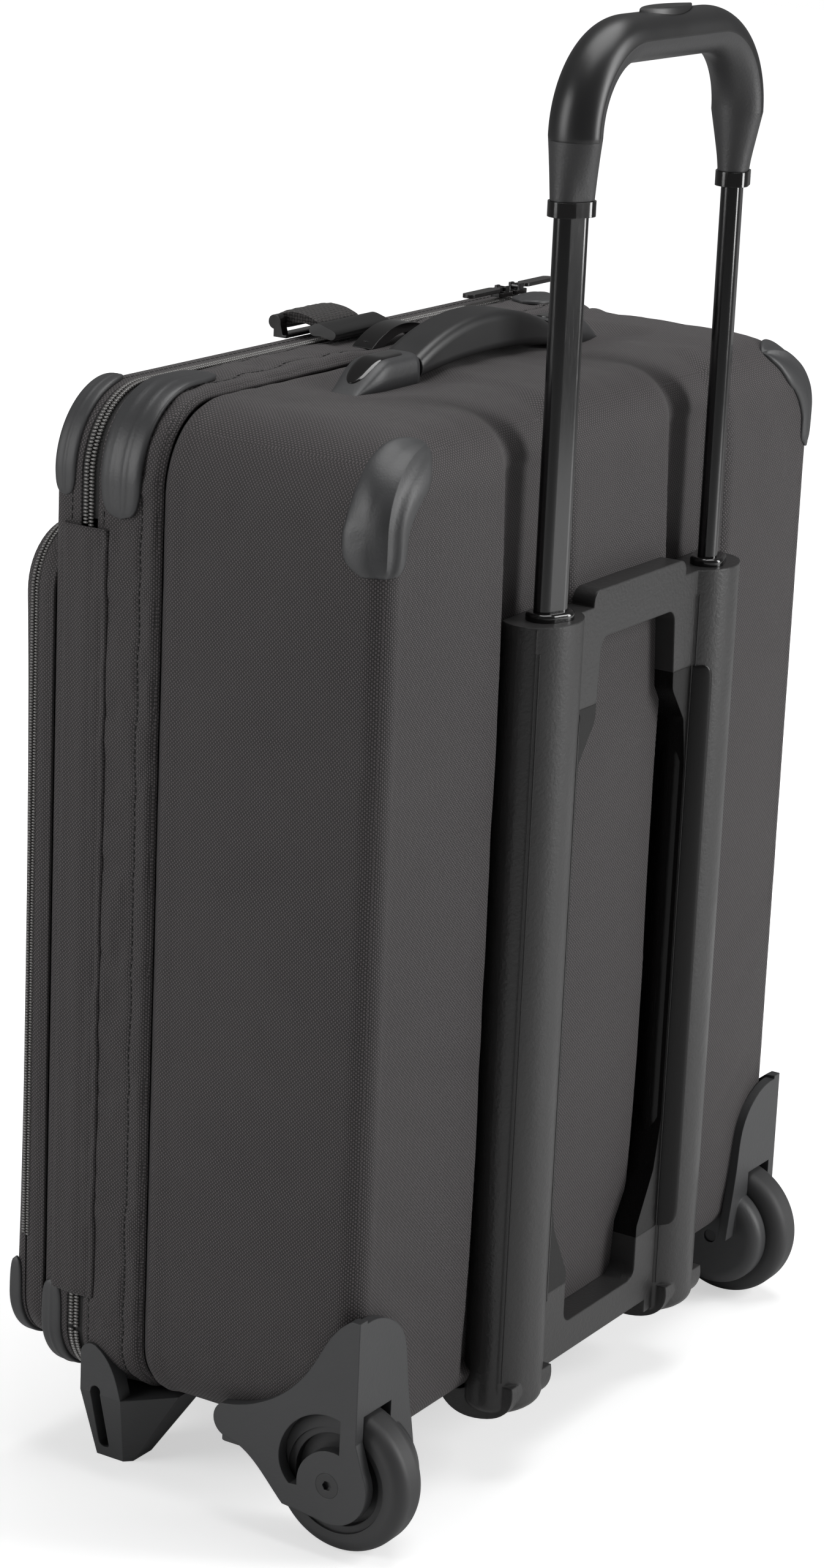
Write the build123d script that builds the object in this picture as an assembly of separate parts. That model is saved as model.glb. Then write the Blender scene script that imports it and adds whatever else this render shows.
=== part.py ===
"""Softside upright suitcase with two wheels, a pull-out trolley handle and a side-opening lid.

Millimetres, +Z up. The origin is on the floor, half-way across the width and half-way through the
overall depth. +Y is the back, where the trolley is; -Y is the front, with the lid and its pocket;
+X is the side that carries the lid's fabric hinge and is called left.
"""
from build123d import *
import os

# ---- case envelope -------------------------------------------------------------------------------
HALF_W = 228.0           # half of the body width
BOTTOM_Z = 51.0          # underside of the body
TOP_Z = 596.5            # top face of the body
REAR_Y = 99.0            # back fabric plane
REAR_EDGE_R = 12.0       # softened back edges
WALL = 5.0               # padded wall of the body
TOP_R, BOTTOM_R = 43.0, 34.0
SEAM_Y = -38.0           # seam between the body and the front band
BAND_Y = -78.0           # front edge of the front band, where the zipper tape starts
BAND_HALF_W, BAND_Z0, BAND_Z1 = 229.0, 50.0, 600.5
BAND_WALL = 3.0
GAP = 0.2                # space between neighbouring sewn panels

# ---- lid, zipper and pocket ----------------------------------------------------------------------
ZIP_Y = -83.15           # plane where the two rows of zipper teeth meet
TEETH_W, TEETH_H = 1.8, 1.6
TAPE_T = 1.0
LID_BACK_Y = -88.1       # back edge of the lid's side band
LID_FRONT_Y = -108.0     # front face of the lid
GUSSET_Z0, GUSSET_Z1 = 107.0, 531.0      # stretch of the left side where fabric hinges the lid
POCKET_Y = -130.0        # front face of the pocket
POCKET_HALF_W = 227.0
POCKET_Z0, POCKET_Z1 = 62.0, 524.0
POCKET_SPLIT_Y = -118.0  # plane of the pocket zipper
POCKET_R_TOP, POCKET_R_BOTTOM = 34.0, 32.0
POCKET_WALL = 3.0
SLIDER_L, SLIDER_W = 14.0, 9.0
PULL_L, PULL_W, PULL_T = 40.0, 8.0, 2.2
TOP_SLIDER_X, FAR_SLIDER_X, POCKET_SLIDER_X = -171.0, -187.0, -150.0

# ---- wheels and feet -----------------------------------------------------------------------------
WHEEL_R, WHEEL_W = 42.0, 24.0
WHEEL_X, WHEEL_Y = 214.0, 88.0
HUB_R = 30.0
BEARING_R, BEARING_W = 11.0, 7.0
AXLE_R = 4.0
AXLE_HEAD_R, AXLE_HEAD_T = 7.0, 4.0
RUN = 0.05               # radial running clearance
BRACKET_X = 234.0        # outer face of the wheel bracket
WELL_X, WELL_Y, WELL_Z = 186.0, 38.0, 98.0
FOOT_X0, FOOT_X1 = 186.0, 207.0          # sole of a foot
FOOT_Y0, FOOT_Y1 = -82.0, -60.0

# ---- trolley -------------------------------------------------------------------------------------
TUBE_X, TUBE_Y = 86.3, 110.0
TUBE_L, TUBE_T = 20.0, 11.0          # oblong tube, long and short side
TUBE_TILT = -20.0                    # turn of the left tube's long side from the X axis, degrees
TUBE_WALL = 1.2
TUBE_Z0, TUBE_Z1 = 228.0, 730.0
GUIDE_Z0, GUIDE_Z1 = 50.0, 484.0
GUIDE_WALL, GUIDE_SLACK = 1.0, 1.0
RAIL_A, RAIL_B = 26.0, 20.0          # half width and half depth of the rail's ellipse
RAIL_Y = 106.0                       # centre of that ellipse
RAIL_Z0, RAIL_Z1 = 42.0, 488.0
PLATE_FRONT_Y, PLATE_BACK_Y = 99.4, 116.0
CROSS_TOP = (470.0, 497.0)
CROSS_BOTTOM = (54.0, 73.0)
CHANNEL_HALF_W, CHANNEL_D = 26.0, 6.5    # channels of the back panel behind the tubes
CHANNEL_SLOPE = 8.0
BUSHING_Z0, BUSHING_Z1 = 470.0, 492.5
LATCH_Z = 222.0
INLAY_X, INLAY_Z0, INLAY_Z1 = 66.0, 98.0, 434.0

# ---- grip ----------------------------------------------------------------------------------------
GRIP_A, GRIP_B = 12.5, 14.5          # half height and half depth of the grip section
GRIP_TOP_Z = 796.5
GRIP_R = 46.0                        # bend radius of the grip's centre line
GRIP_Z0, COLLAR_Z0 = 706.0, 698.0
SLEEVE_L, SLEEVE_T = 25.0, 16.0
ROD_R = 1.5
ROD_LIFT = 2.0

# ---- carry handle and strap ----------------------------------------------------------------------
HANDLE_Y = 1.5
CAP_X0, CAP_X1 = 70.5, 125.0
CAP_HALF_Y = 12.0
CAP_TOP_Z = 612.0
STRAP_X = 3.0                        # centre of the add-a-bag strap
STRAP_BAR_Y, STRAP_BAR_Z = -107.0, 609.0
SCREW_R, SCREW_HEAD_R, SCREW_HEAD_T = 1.95, 4.0, 2.4
SCREW_L = 11.0                       # longest screw, holes follow it
SIDE_SCREW_L = 9.0                   # screws that end inside the bracket's cheek
HOUSING_SCREW_Z = (66.5, 483.0)


# ---- helpers -------------------------------------------------------------------------------------
def block(x0, x1, y0, y1, z0, z1):
    """Box between two corners."""
    return Pos((x0 + x1) / 2, (y0 + y1) / 2, (z0 + z1) / 2) * Box(x1 - x0, y1 - y0, z1 - z0)


def along_y(sketch, y0, y1):
    """Extrudes a sketch drawn as (x, z) between two planes of constant y."""
    plane = Plane(origin=(0, y1, 0), x_dir=(1, 0, 0), z_dir=(0, -1, 0))
    return extrude(plane * sketch, amount=y1 - y0)


def along_x(sketch, x0, x1):
    """Extrudes a sketch drawn as (y, z) between two planes of constant x."""
    plane = Plane(origin=(x0, 0, 0), x_dir=(0, 1, 0), z_dir=(1, 0, 0))
    return extrude(plane * sketch, amount=x1 - x0)


def along_z(sketch, z0, z1):
    """Extrudes a sketch drawn as (x, y) between two heights."""
    return extrude(Plane.XY.offset(z0) * sketch, amount=z1 - z0)


def rod(start, direction, radius, length):
    """Round bar from a point along a direction."""
    return extrude(Plane(origin=start, z_dir=direction) * Circle(radius), amount=length)


def polygon(points):
    """Filled face from corner points."""
    return make_face(Polyline(*points, close=True))


def smooth_shape(points):
    """Filled face inside a closed smooth curve through points."""
    return make_face(Spline(*points, periodic=True))


def outline(half_w, z0, z1, r_top, r_bottom):
    """Upright rounded rectangle, drawn as (x, z), with one radius at the top and one at the bottom."""
    middle = (z0 + z1) / 2
    top = Pos(0, middle) * RectangleRounded(2 * half_w, z1 - z0, r_top)
    bottom = Pos(0, middle) * RectangleRounded(2 * half_w, z1 - z0, r_bottom)
    upper = Pos(0, middle + 500) * Rectangle(4 * half_w, 1000)
    lower = Pos(0, middle - 500) * Rectangle(4 * half_w, 1000)
    return (top & upper) + (bottom & lower)


def body_outline(grow=0.0):
    """Outline of the padded body, offset outwards by grow."""
    return outline(HALF_W + grow, BOTTOM_Z - grow, TOP_Z + grow, TOP_R + grow, BOTTOM_R + grow)


def band_outline(grow=0.0):
    """Outline of the front band, the zipper and the lid, offset outwards by grow."""
    return outline(BAND_HALF_W + grow, BAND_Z0 - grow, BAND_Z1 + grow,
                   TOP_R + 1 + grow, BOTTOM_R + 1 + grow)


def pocket_outline(grow=0.0):
    """Outline of the front pocket, offset outwards by grow."""
    return outline(POCKET_HALF_W + grow, POCKET_Z0 - grow, POCKET_Z1 + grow,
                   POCKET_R_TOP + grow, POCKET_R_BOTTOM + grow)


def body_form(grow=0.0):
    """Solid block of the body's outer form with softened back edges."""
    form = along_y(body_outline(grow), -60, REAR_Y + grow)
    return fillet(form.faces().sort_by(Axis.Y)[-1].edges(), REAR_EDGE_R + grow)


def mirrored(solid):
    """Mirror image of a left piece."""
    return mirror(solid, about=Plane.YZ)


def both_sides(solid):
    """A left piece together with its mirror image, as separate solids."""
    return Compound([*solid.solids(), *mirrored(solid).solids()])


def oblong(length, thick):
    """Slot-shaped section of the left trolley tube."""
    return Pos(TUBE_X, TUBE_Y) * Rot(0, 0, TUBE_TILT) * SlotOverall(length, thick)


def tilted(solid):
    """Places a solid drawn about the tube's own axis and long side onto the left tube."""
    return Pos(TUBE_X, TUBE_Y, 0) * Rot(0, 0, TUBE_TILT) * solid


def screw_places():
    """Under-head point and direction of every screw; all are driven from inside the body."""
    places = []
    for sign in (1, -1):
        places += [(sign * 38.0, 92.4, z, (0, 1, 0)) for z in HOUSING_SCREW_Z]
        places += [(sign * x, HANDLE_Y, TOP_Z - WALL, (0, 0, 1)) for x in (103.0, 114.0)]
        places += [(sign * 190.0, y, BAND_Z0 + BAND_WALL, (0, 0, -1)) for y in (-62.0, -46.0)]
        places += [(sign * 190.0, 27.0, BOTTOM_Z + WALL, (0, 0, -1)),
                   (sign * (HALF_W - WALL), 86.0, 115.0, (sign, 0, 0))]
        places += [(-9.0 + sign * 27.0, -54.0, BAND_Z1 - BAND_WALL, (0, 0, 1))]
    return places


def drilled(solid, depth=SCREW_L + 0.5):
    """Cuts the hole of every screw that passes through a solid."""
    for x, y, z, direction in screw_places():
        reach = min(depth, SIDE_SCREW_L + 0.4) if direction[0] else depth
        solid = solid - rod((x, y, z), direction, SCREW_R + RUN, reach)
    return solid


def largest(solid):
    """Biggest body of a solid that a cut has split."""
    return max(solid.solids(), key=lambda s: s.volume)


def hinge_stretch():
    """Space of the left side where the zipper gives way to the fabric hinge."""
    return block(150, 300, -120, -60, GUSSET_Z0, GUSSET_Z1)


# ---- body ----------------------------------------------------------------------------------------
def wheel_wells():
    """Corner spaces of the body that the wheel brackets fill."""
    return both_sides(block(WELL_X, 260, WELL_Y, 140, 30, WELL_Z))


def rear_profile():
    """Section of the back panel, drawn as (x, y), with a channel behind each trolley tube."""
    inner, outer = TUBE_X - CHANNEL_HALF_W, TUBE_X + CHANNEL_HALF_W
    low = REAR_Y - CHANNEL_D
    half = [(0, REAR_Y), (inner - CHANNEL_SLOPE, REAR_Y), (inner, low), (outer, low),
            (outer + CHANNEL_SLOPE, REAR_Y), (HALF_W, REAR_Y), (HALF_W, REAR_Y - WALL),
            (outer + CHANNEL_SLOPE, REAR_Y - WALL), (outer, low - WALL), (inner, low - WALL),
            (inner - CHANNEL_SLOPE, REAR_Y - WALL), (0, REAR_Y - WALL)]
    face = polygon(half)
    return face + mirror(face, about=Plane.YZ)


def body_panels():
    """Side, top, bottom and rear panels of the padded body."""
    shell = body_form() - along_y(body_outline(-WALL), -60, REAR_Y + 1)
    hoop = shell & block(-300, 300, SEAM_Y + GAP, REAR_Y - WALL - GAP, 0, 700)
    channel_w = CHANNEL_HALF_W + CHANNEL_SLOPE
    channel = block(TUBE_X - channel_w, TUBE_X + channel_w, REAR_Y - CHANNEL_D - WALL - GAP, 120, 0, 700)
    hoop = hoop - both_sides(channel) - wheel_wells()
    for x, y, z, direction in screw_places():
        hoop = hoop - rod((x, y, z), direction, SCREW_R + RUN, 40)
    top_cut, bottom_cut = TOP_Z - TOP_R, BOTTOM_Z + BOTTOM_R
    side = hoop & block(-300, 300, -60, 120, bottom_cut + GAP, top_cut - GAP)
    rear = (along_z(rear_profile(), 0, 700) & body_form()) - wheel_wells()
    for x, y, z, direction in screw_places():
        rear = rear - rod((x, y, z), direction, SCREW_R + RUN, 40)
    return {
        "side_panel_left": side & block(0, 300, -60, 120, 0, 700),
        "side_panel_right": side & block(-300, 0, -60, 120, 0, 700),
        "top_panel": hoop & block(-300, 300, -60, 120, top_cut, 700),
        "bottom_panel": hoop & block(-300, 300, -60, 120, 0, bottom_cut),
        "rear_panel": rear,
    }


def front_band():
    """Padded band between the body seam and the zipper."""
    band = along_y(band_outline() - band_outline(-BAND_WALL), BAND_Y, SEAM_Y - GAP)
    for x, y, z, direction in screw_places():
        band = band - rod((x, y, z), direction, SCREW_R + RUN, 40)
    return band


def interior_lining():
    """Thin lining sheets that stand just inside the padded walls."""
    sheet, front, back = 1.0, -68.0, 85.0
    side_x, top_z, bottom_z = 218.5, 586.0, 60.0
    side = block(side_x, side_x + sheet, front, back, WELL_Z + 4, TOP_Z - TOP_R)
    top = block(-180, 180, front, back, top_z, top_z + sheet)
    bottom = block(-180, 180, front, back, bottom_z - sheet, bottom_z)
    rear = block(-214, 214, back, back + sheet, WELL_Z + 4, TOP_Z - TOP_R)
    return Compound([*both_sides(side).solids(), top, bottom, rear])


def mouth_wire():
    """Spring-steel wire loop that keeps the mouth of the case in shape."""
    wire_r, wire_y = 1.5, -74.0
    inset = BAND_WALL + wire_r + 0.2
    plane = Plane(origin=(0, wire_y, 0), x_dir=(1, 0, 0), z_dir=(0, -1, 0))
    path = (plane * band_outline(-inset)).face().outer_wire()
    start = path @ 0
    section = Plane(origin=start, z_dir=path % 0) * Circle(wire_r)
    return sweep(section, path=path)


def tie_down_straps():
    """Two webbing bands across the back of the packing space."""
    bands = [block(-200, 200, 80.5, 82.0, z - 12, z + 12) for z in (220.0, 430.0)]
    return Compound([b - block(-22, 22, 70, 90, 0, 700) for b in bands])


def tie_down_buckle():
    """Plastic buckles that join the tie-down bands."""
    frame = block(-21.5, 21.5, 78, 83, -16, 16) - block(-14, 14, 70, 90, -9, 9) \
        - block(-30, 30, 80, 82.5, -12.5, 12.5)
    frame = frame + block(-2, 2, 79, 82, -16, 16)
    return Compound([s for z in (220.0, 430.0) for s in (Pos(0, 0, z) * frame).solids()])


# ---- zipper and lid ------------------------------------------------------------------------------
def zipper_row(y_tape, y_teeth):
    """One side of the main zipper: its tape and its coil."""
    tape = along_y(band_outline() - band_outline(-TAPE_T), *y_tape)
    coil = along_y(band_outline(TEETH_H) - band_outline(), *y_teeth)
    return tape - hinge_stretch(), coil - hinge_stretch()


def hinge_gusset():
    """Fabric strip on the left side that hinges the lid."""
    return block(BAND_HALF_W + GAP, BAND_HALF_W + GAP + 1, ZIP_Y + 0.3, -72, GUSSET_Z0 + 1, GUSSET_Z1 - 1)


def lid_panel():
    """Front panel of the lid."""
    panel = along_y(band_outline(-0.5), LID_FRONT_Y, LID_FRONT_Y + 4)
    return fillet(panel.faces().sort_by(Axis.Y)[0].edges(), 2.5)


def lid_band():
    """Side band of the lid."""
    return along_y(band_outline(-0.5) - band_outline(-0.5 - BAND_WALL), LID_FRONT_Y + 4 + GAP, LID_BACK_Y)


def lid_lining():
    """Lining board inside the lid."""
    return along_y(band_outline(-6), LID_FRONT_Y + 4.3, LID_FRONT_Y + 5.5)


def corner_shell(form, space, region):
    """Thin cover made from an outer form, less the space it covers, kept inside a region."""
    return (form - space) & region


def lid_corner_guards():
    """Moulded guards on the four corners of the lid."""
    form = along_y(band_outline(2.4), LID_FRONT_Y - 2.2, -97)
    form = fillet(form.faces().sort_by(Axis.Y)[0].edges(), 5)
    space = along_y(band_outline(0), LID_FRONT_Y - GAP, -90)
    upper = corner_shell(form, space, block(186, 300, -130, -97, 545, 700))
    lower = corner_shell(form, space, block(192, 300, -130, -97, 0, 108))
    lower = lower - along_y(pocket_outline(GAP), -140, LID_FRONT_Y)
    rim = along_y(band_outline(-16), -130, -90)
    return Compound([*both_sides(upper - rim).solids(), *both_sides(lower - rim).solids()])


def top_corner_guards():
    """Moulded guards on the upper corners of the front band and on the upper back corners."""
    form = along_y(band_outline(2.2), -71, -45)
    space = along_y(band_outline(GAP), -80, -40)
    side_view = along_x(Pos(-58, 620) * RectangleRounded(26, 164, 12.9), 150, 300)
    top_view = along_z(polygon([(300, -71), (300, -45), (205, -45), (158, -64), (158, -71)]), 500, 700)
    front = (form - space) & side_view & top_view & block(150, 300, -80, -40, 538, 700)
    wrap = (body_form(2.6) - body_form(GAP)) & block(206, 300, 70, 120, 531, 590)
    return Compound([*both_sides(front).solids(), *both_sides(wrap).solids()])


def pocket_gusset():
    """Back half of the pocket's side wall, sewn to the lid."""
    return along_y(pocket_outline() - pocket_outline(-POCKET_WALL), POCKET_SPLIT_Y + 0.4, LID_FRONT_Y - 0.3)


def pocket_flap():
    """Front of the pocket with the front half of its side wall."""
    tray = along_y(pocket_outline(), POCKET_Y, POCKET_SPLIT_Y - 0.4)
    tray = tray - along_y(pocket_outline(-POCKET_WALL), POCKET_Y + POCKET_WALL, POCKET_SPLIT_Y + 1)
    return fillet(tray.faces().sort_by(Axis.Y)[0].edges(), 2.5)


def pocket_corner_guards():
    """Moulded guards on the two lower corners of the pocket."""
    form = along_y(pocket_outline(2.2), POCKET_Y, POCKET_SPLIT_Y - 3)
    space = along_y(pocket_outline(GAP), -140, -100)
    return both_sides(corner_shell(form, space, block(190, 300, -140, -121, 0, 112)))


def slider(x, y, z):
    """Zipper slider body with two lugs and a pin for its pull."""
    half_l, half_w = SLIDER_L / 2, SLIDER_W / 2
    plate = block(x - half_l, x + half_l, y - half_w, y + half_w, z, z + 2.4)
    plate = fillet(plate.edges().filter_by(Axis.Z), 2.5)
    lugs = block(x - 2, x + 2, y - 4, y + 4, z + 2.4, z + 6)
    lugs = lugs - block(x - 3, x + 3, y - 2.4, y + 2.4, z + 2.4, z + 7)
    pin = rod((x, y - 4, z + 4.2), (0, 1, 0), 1.0, 8)
    return plate + lugs + pin


def slider_pull(x, y, z, heading):
    """Flat pull tab with an eye round the slider's pin, pointing along heading times X."""
    eye = rod((x, y - 2.2, z + 4.2), (0, 1, 0), 1.7, 4.4)
    neck = block(x, x + 8, y - 2.2, y + 2.2, z + 3.1, z + 3.1 + PULL_T)
    tab = block(x + 6, x + PULL_L, y - PULL_W / 2, y + PULL_W / 2, z + 3.1, z + 3.1 + PULL_T)
    tab = fillet(tab.edges().filter_by(Axis.Z), 3.5)
    pull = eye + neck + tab - rod((x, y - 5, z + 4.2), (0, 1, 0), 1.0 + RUN, 10)
    return pull if heading > 0 else Pos(2 * x, 0, 0) * mirror(pull, about=Plane.YZ)


# ---- wheels, brackets and feet -------------------------------------------------------------------
def bracket_cheek():
    """Side view of the wheel bracket's outer cheek, drawn as (y, z)."""
    upper = Spline((19, 70), (42, 76.5), (61, 89), (76, 107), (89, 129), (99, 138.5))
    boss = ThreePointArc((110, 54), (104, 25.6), (84, 21))
    edges = [upper, Line((99, 138.5), (105, 139)), Line((105, 139), (105, 70)), Line((105, 70), (110, 54)),
             boss, Line((84, 21), (60, 23.5)), Spline((60, 23.5), (48, 36), (35, 47), (22, 51.5)),
             ThreePointArc((22, 51.5), (14.5, 60), (19, 70))]
    return make_face(Wire(edges))


def bracket_window():
    """Window of the outer cheek that shows the wheel, drawn as (y, z)."""
    sweep_edge = Spline((64, 36.5), (57, 50), (61, 66), (73, 78), (86, 82), (95, 81))
    return make_face(Wire([sweep_edge, Line((95, 81), (95, 61.5)),
                           ThreePointArc((95, 61.5), (84, 61), (76, 56)),
                           ThreePointArc((76, 56), (70, 47), (69, 37)), Line((69, 37), (64, 36.5))]))


def wheel_bracket():
    """Left wheel bracket: outer cheek, back wing, inner cheek, wheel arch and bottom flange."""
    inner_x = WHEEL_X - WHEEL_W / 2 - 1.2
    outer_x = WHEEL_X + WHEEL_W / 2 + 1.2
    cheek = along_x(bracket_cheek(), outer_x, BRACKET_X)
    wing_edge = Spline((228, 137), (205, 132), (191, 119), (185, 92), (179, 62), (176, 47))
    wing = make_face(Wire([Line((BRACKET_X, 139), (228, 137)), wing_edge, Line((176, 47), (BRACKET_X, 47)),
                           Line((BRACKET_X, 47), (BRACKET_X, 139))]))
    wing = along_y(wing, REAR_Y + 0.4, REAR_Y + 6)
    disc = rod((inner_x, WHEEL_Y, WHEEL_R), (-1, 0, 0), 32, 13)
    disc = fillet(disc.faces().sort_by(Axis.X)[0].edges(), 8)
    web = block(190, inner_x, 70, REAR_Y + 5, 50, 88)
    arch = rod((188, WHEEL_Y, WHEEL_R), (1, 0, 0), 49.5, outer_x - 188)
    arch = arch & block(180, 240, 30, REAR_Y + 1, 44, 95)
    flange = block(184, outer_x + 3, 16, 60, 46.5, BOTTOM_Z - GAP)
    flange = fillet(flange.edges().filter_by(Axis.Z), 4)
    solid = cheek + wing + disc + web + arch + flange
    solid = solid - rod((inner_x, WHEEL_Y, WHEEL_R), (1, 0, 0), WHEEL_R + 3, outer_x - inner_x)
    solid = solid - block(inner_x, outer_x, WHEEL_Y, 140, 0, WHEEL_R + 42)
    well = block(WELL_X + GAP, 260, WELL_Y + GAP, 140, 30, WELL_Z - GAP)
    solid = solid - (body_form(GAP) - well)
    solid = solid - along_x(bracket_window(), outer_x - 1, BRACKET_X + 1)
    solid = solid - rod((180, WHEEL_Y, WHEEL_R), (1, 0, 0), AXLE_R + RUN, 60)
    solid = solid - rod((BRACKET_X - AXLE_HEAD_T, WHEEL_Y, WHEEL_R), (1, 0, 0), AXLE_HEAD_R + RUN, 10)
    return largest(drilled(solid))


def axle_bolt():
    """Left axle bolt with a hexagonal socket."""
    head = rod((BRACKET_X - AXLE_HEAD_T, WHEEL_Y, WHEEL_R), (1, 0, 0), AXLE_HEAD_R, AXLE_HEAD_T)
    shank = rod((BRACKET_X - AXLE_HEAD_T - 41, WHEEL_Y, WHEEL_R), (1, 0, 0), AXLE_R, 41)
    socket = along_x(Pos(WHEEL_Y, WHEEL_R) * RegularPolygon(2.9, 6), BRACKET_X - 2.5, BRACKET_X + 1)
    return head + shank - socket


def tyre():
    """Left wheel's tyre with a rounded tread."""
    body = rod((WHEEL_X - WHEEL_W / 2, WHEEL_Y, WHEEL_R), (1, 0, 0), WHEEL_R, WHEEL_W)
    body = fillet(body.edges().filter_by(GeomType.CIRCLE), 8)
    return body - rod((WHEEL_X - WHEEL_W, WHEEL_Y, WHEEL_R), (1, 0, 0), HUB_R, 2 * WHEEL_W)


def hub():
    """Left wheel's hub: rim, dished web and bearing seat."""
    half = WHEEL_W / 2 - 1.5
    body = rod((WHEEL_X - half, WHEEL_Y, WHEEL_R), (1, 0, 0), HUB_R, 2 * half)
    for side in (-1, 1):
        start = (WHEEL_X + side * half, WHEEL_Y, WHEEL_R)
        dish = rod(start, (-side, 0, 0), HUB_R - 4, 5) - rod(start, (-side, 0, 0), BEARING_R + 3, 5)
        body = body - dish - rod(start, (-side, 0, 0), BEARING_R, BEARING_W)
    return body - rod((WHEEL_X - 20, WHEEL_Y, WHEEL_R), (1, 0, 0), AXLE_R + 1, 40)


def bearings():
    """The two ball bearings of the left wheel."""
    half = WHEEL_W / 2 - 1.5
    pair = []
    for side in (-1, 1):
        start = (WHEEL_X + side * half, WHEEL_Y, WHEEL_R)
        body = rod(start, (-side, 0, 0), BEARING_R, BEARING_W)
        groove = rod(start, (-side, 0, 0), BEARING_R - 2, 0.6) - rod(start, (-side, 0, 0), AXLE_R + 2, 0.6)
        pair.append(body - groove - rod(start, (-side, 0, 0), AXLE_R + RUN, BEARING_W))
    return Compound([s for b in pair for s in b.solids()])


def front_foot():
    """Left front foot: a tapered leg whose outer face runs up into an ear on the side of the band."""
    ear_x, root_z = 231.6, 50.0
    sole = polygon([(FOOT_X1, FOOT_Y0), (FOOT_X1, FOOT_Y1 - 4), (FOOT_X1 - 4, FOOT_Y1), (FOOT_X0, FOOT_Y1),
                    (FOOT_X0, FOOT_Y0)])
    root = polygon([(ear_x, -76), (ear_x, -49), (208, -27), (176, -27), (176, -76)])
    leg = loft([Pos(0, 0, root_z) * root, sole])
    ear = make_face(Wire([Line((-76, root_z - 0.1), (-76, 70)),
                          ThreePointArc((-76, 70), (-73, 77.5), (-66, 78)),
                          Spline((-66, 78), (-57, 70), (-52, 60), (-49, root_z - 0.1)),
                          Line((-49, root_z - 0.1), (-76, root_z - 0.1))]))
    foot = leg + along_x(ear, 222, ear_x)
    foot = foot - along_y(band_outline(GAP), -90, SEAM_Y) - body_form(GAP)
    slot = Pos(-69.7, 31) * SlotOverall(48, 6.5, rotation=79)
    return largest(drilled(foot - along_x(slot, 201, 240)))


# ---- trolley housing -----------------------------------------------------------------------------
def housing_opening():
    """Opening of the trolley housing, drawn as (x, z): narrow at both ends, wide between."""
    low, high, narrow, wide = CROSS_BOTTOM[1], CROSS_TOP[0], 40.0, 62.0
    right = [(narrow, low), (narrow, low + 32), (wide - 6, low + 62), (wide, low + 92), (wide, high - 92),
             (wide - 4, high - 66), (narrow + 3, high - 46), (narrow, high)]
    opening = polygon(right + [(-x, z) for x, z in reversed(right)])
    return fillet(opening.vertices(), 7)


def rail():
    """Left rail of the trolley housing with a rounded foot that wraps under the body."""
    section = Pos(TUBE_X, RAIL_Y) * Ellipse(RAIL_A, RAIL_B)
    section = section & (Pos(TUBE_X, RAIL_Y + 6.4) * Rectangle(80, 40))
    body = along_z(section, RAIL_Z0, RAIL_Z1)
    body = fillet(body.faces().sort_by(Axis.Z)[0].edges(), 6)
    toe = Spline((99, 60), (76, 50), (84, 40), (104, 37), (120, 44), (124, 60))
    toe = along_x(make_face(Wire([toe, Line((124, 60), (99, 60))])), TUBE_X - 21, TUBE_X + 21)
    return body + (toe - body_form(GAP))


def full_housing():
    """Trolley housing before its inlays are parted off."""
    plate = outline(TUBE_X + RAIL_A - 3, RAIL_Z0 + 4, CROSS_TOP[1], 12, 12) - housing_opening()
    notch = Pos(TUBE_X, CROSS_TOP[1]) * Rectangle(2 * RAIL_A + 20, 2 * (CROSS_TOP[1] - RAIL_Z1))
    plate = plate - notch - mirror(notch, about=Plane.YZ)
    shoulders = [v for v in plate.vertices() if v.Y > CROSS_TOP[1] - 0.5]
    plate = fillet(shoulders, 7)
    lower = Pos(0, 40) * Rectangle(110, 2 * (CROSS_BOTTOM[0] - 40))
    plate = along_y(plate - lower, PLATE_FRONT_Y, PLATE_BACK_Y)
    body = plate + rail() + mirrored(rail())
    cavity = along_z(oblong(TUBE_L + 2 * (GUIDE_WALL + GUIDE_SLACK) + 0.2,
                            TUBE_T + 2 * (GUIDE_WALL + GUIDE_SLACK) + 0.2), GUIDE_Z0 - GAP, RAIL_Z1 + 20)
    body = body - both_sides(cavity)
    return drilled(body) - (along_z(rear_profile(), 0, 700) & body_form()) - body_form(-WALL - 1)


def housing_parts():
    """Trolley housing and the gloss inlays on the inner side of its rails."""
    whole = full_housing()
    window = block(30, INLAY_X, 80, 121, INLAY_Z0, INLAY_Z1)
    inlay = whole & window
    return whole - both_sides(window), both_sides(inlay)


def guide_tube():
    """Left outer tube inside the rail, slotted for the latch pin."""
    outer = oblong(TUBE_L + 2 * (GUIDE_WALL + GUIDE_SLACK), TUBE_T + 2 * (GUIDE_WALL + GUIDE_SLACK))
    inner = oblong(TUBE_L + 2 * GUIDE_SLACK, TUBE_T + 2 * GUIDE_SLACK)
    slot = tilted(block(8, 16, -2.3, 2.3, GUIDE_Z0 + 6, GUIDE_Z1 - 8))
    return along_z(outer - inner, GUIDE_Z0, GUIDE_Z1) - slot


def guide_bushing():
    """Left bushing that the trolley tube runs through at the top of its rail."""
    neck = along_z(oblong(TUBE_L + 2 * GUIDE_SLACK - 0.1, TUBE_T + 2 * GUIDE_SLACK - 0.1),
                   BUSHING_Z0, RAIL_Z1 + 0.2)
    flange = along_z(oblong(TUBE_L + 8, TUBE_T + 8), RAIL_Z1 + 0.1, BUSHING_Z1)
    flange = fillet(flange.faces().sort_by(Axis.Z)[-1].edges(), 2)
    bore = along_z(oblong(TUBE_L + 2 * RUN, TUBE_T + 2 * RUN), BUSHING_Z0 - 1, BUSHING_Z1 + 1)
    return neck + flange - bore


def backing_plates():
    """Steel plates inside the body that the housing screws pull against."""
    plates = [block(-50, 50, 92.4, 93.8, z - 9, z + 9) for z in HOUSING_SCREW_Z]
    return Compound([s for p in plates for s in drilled(p, 40).solids()])


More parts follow.
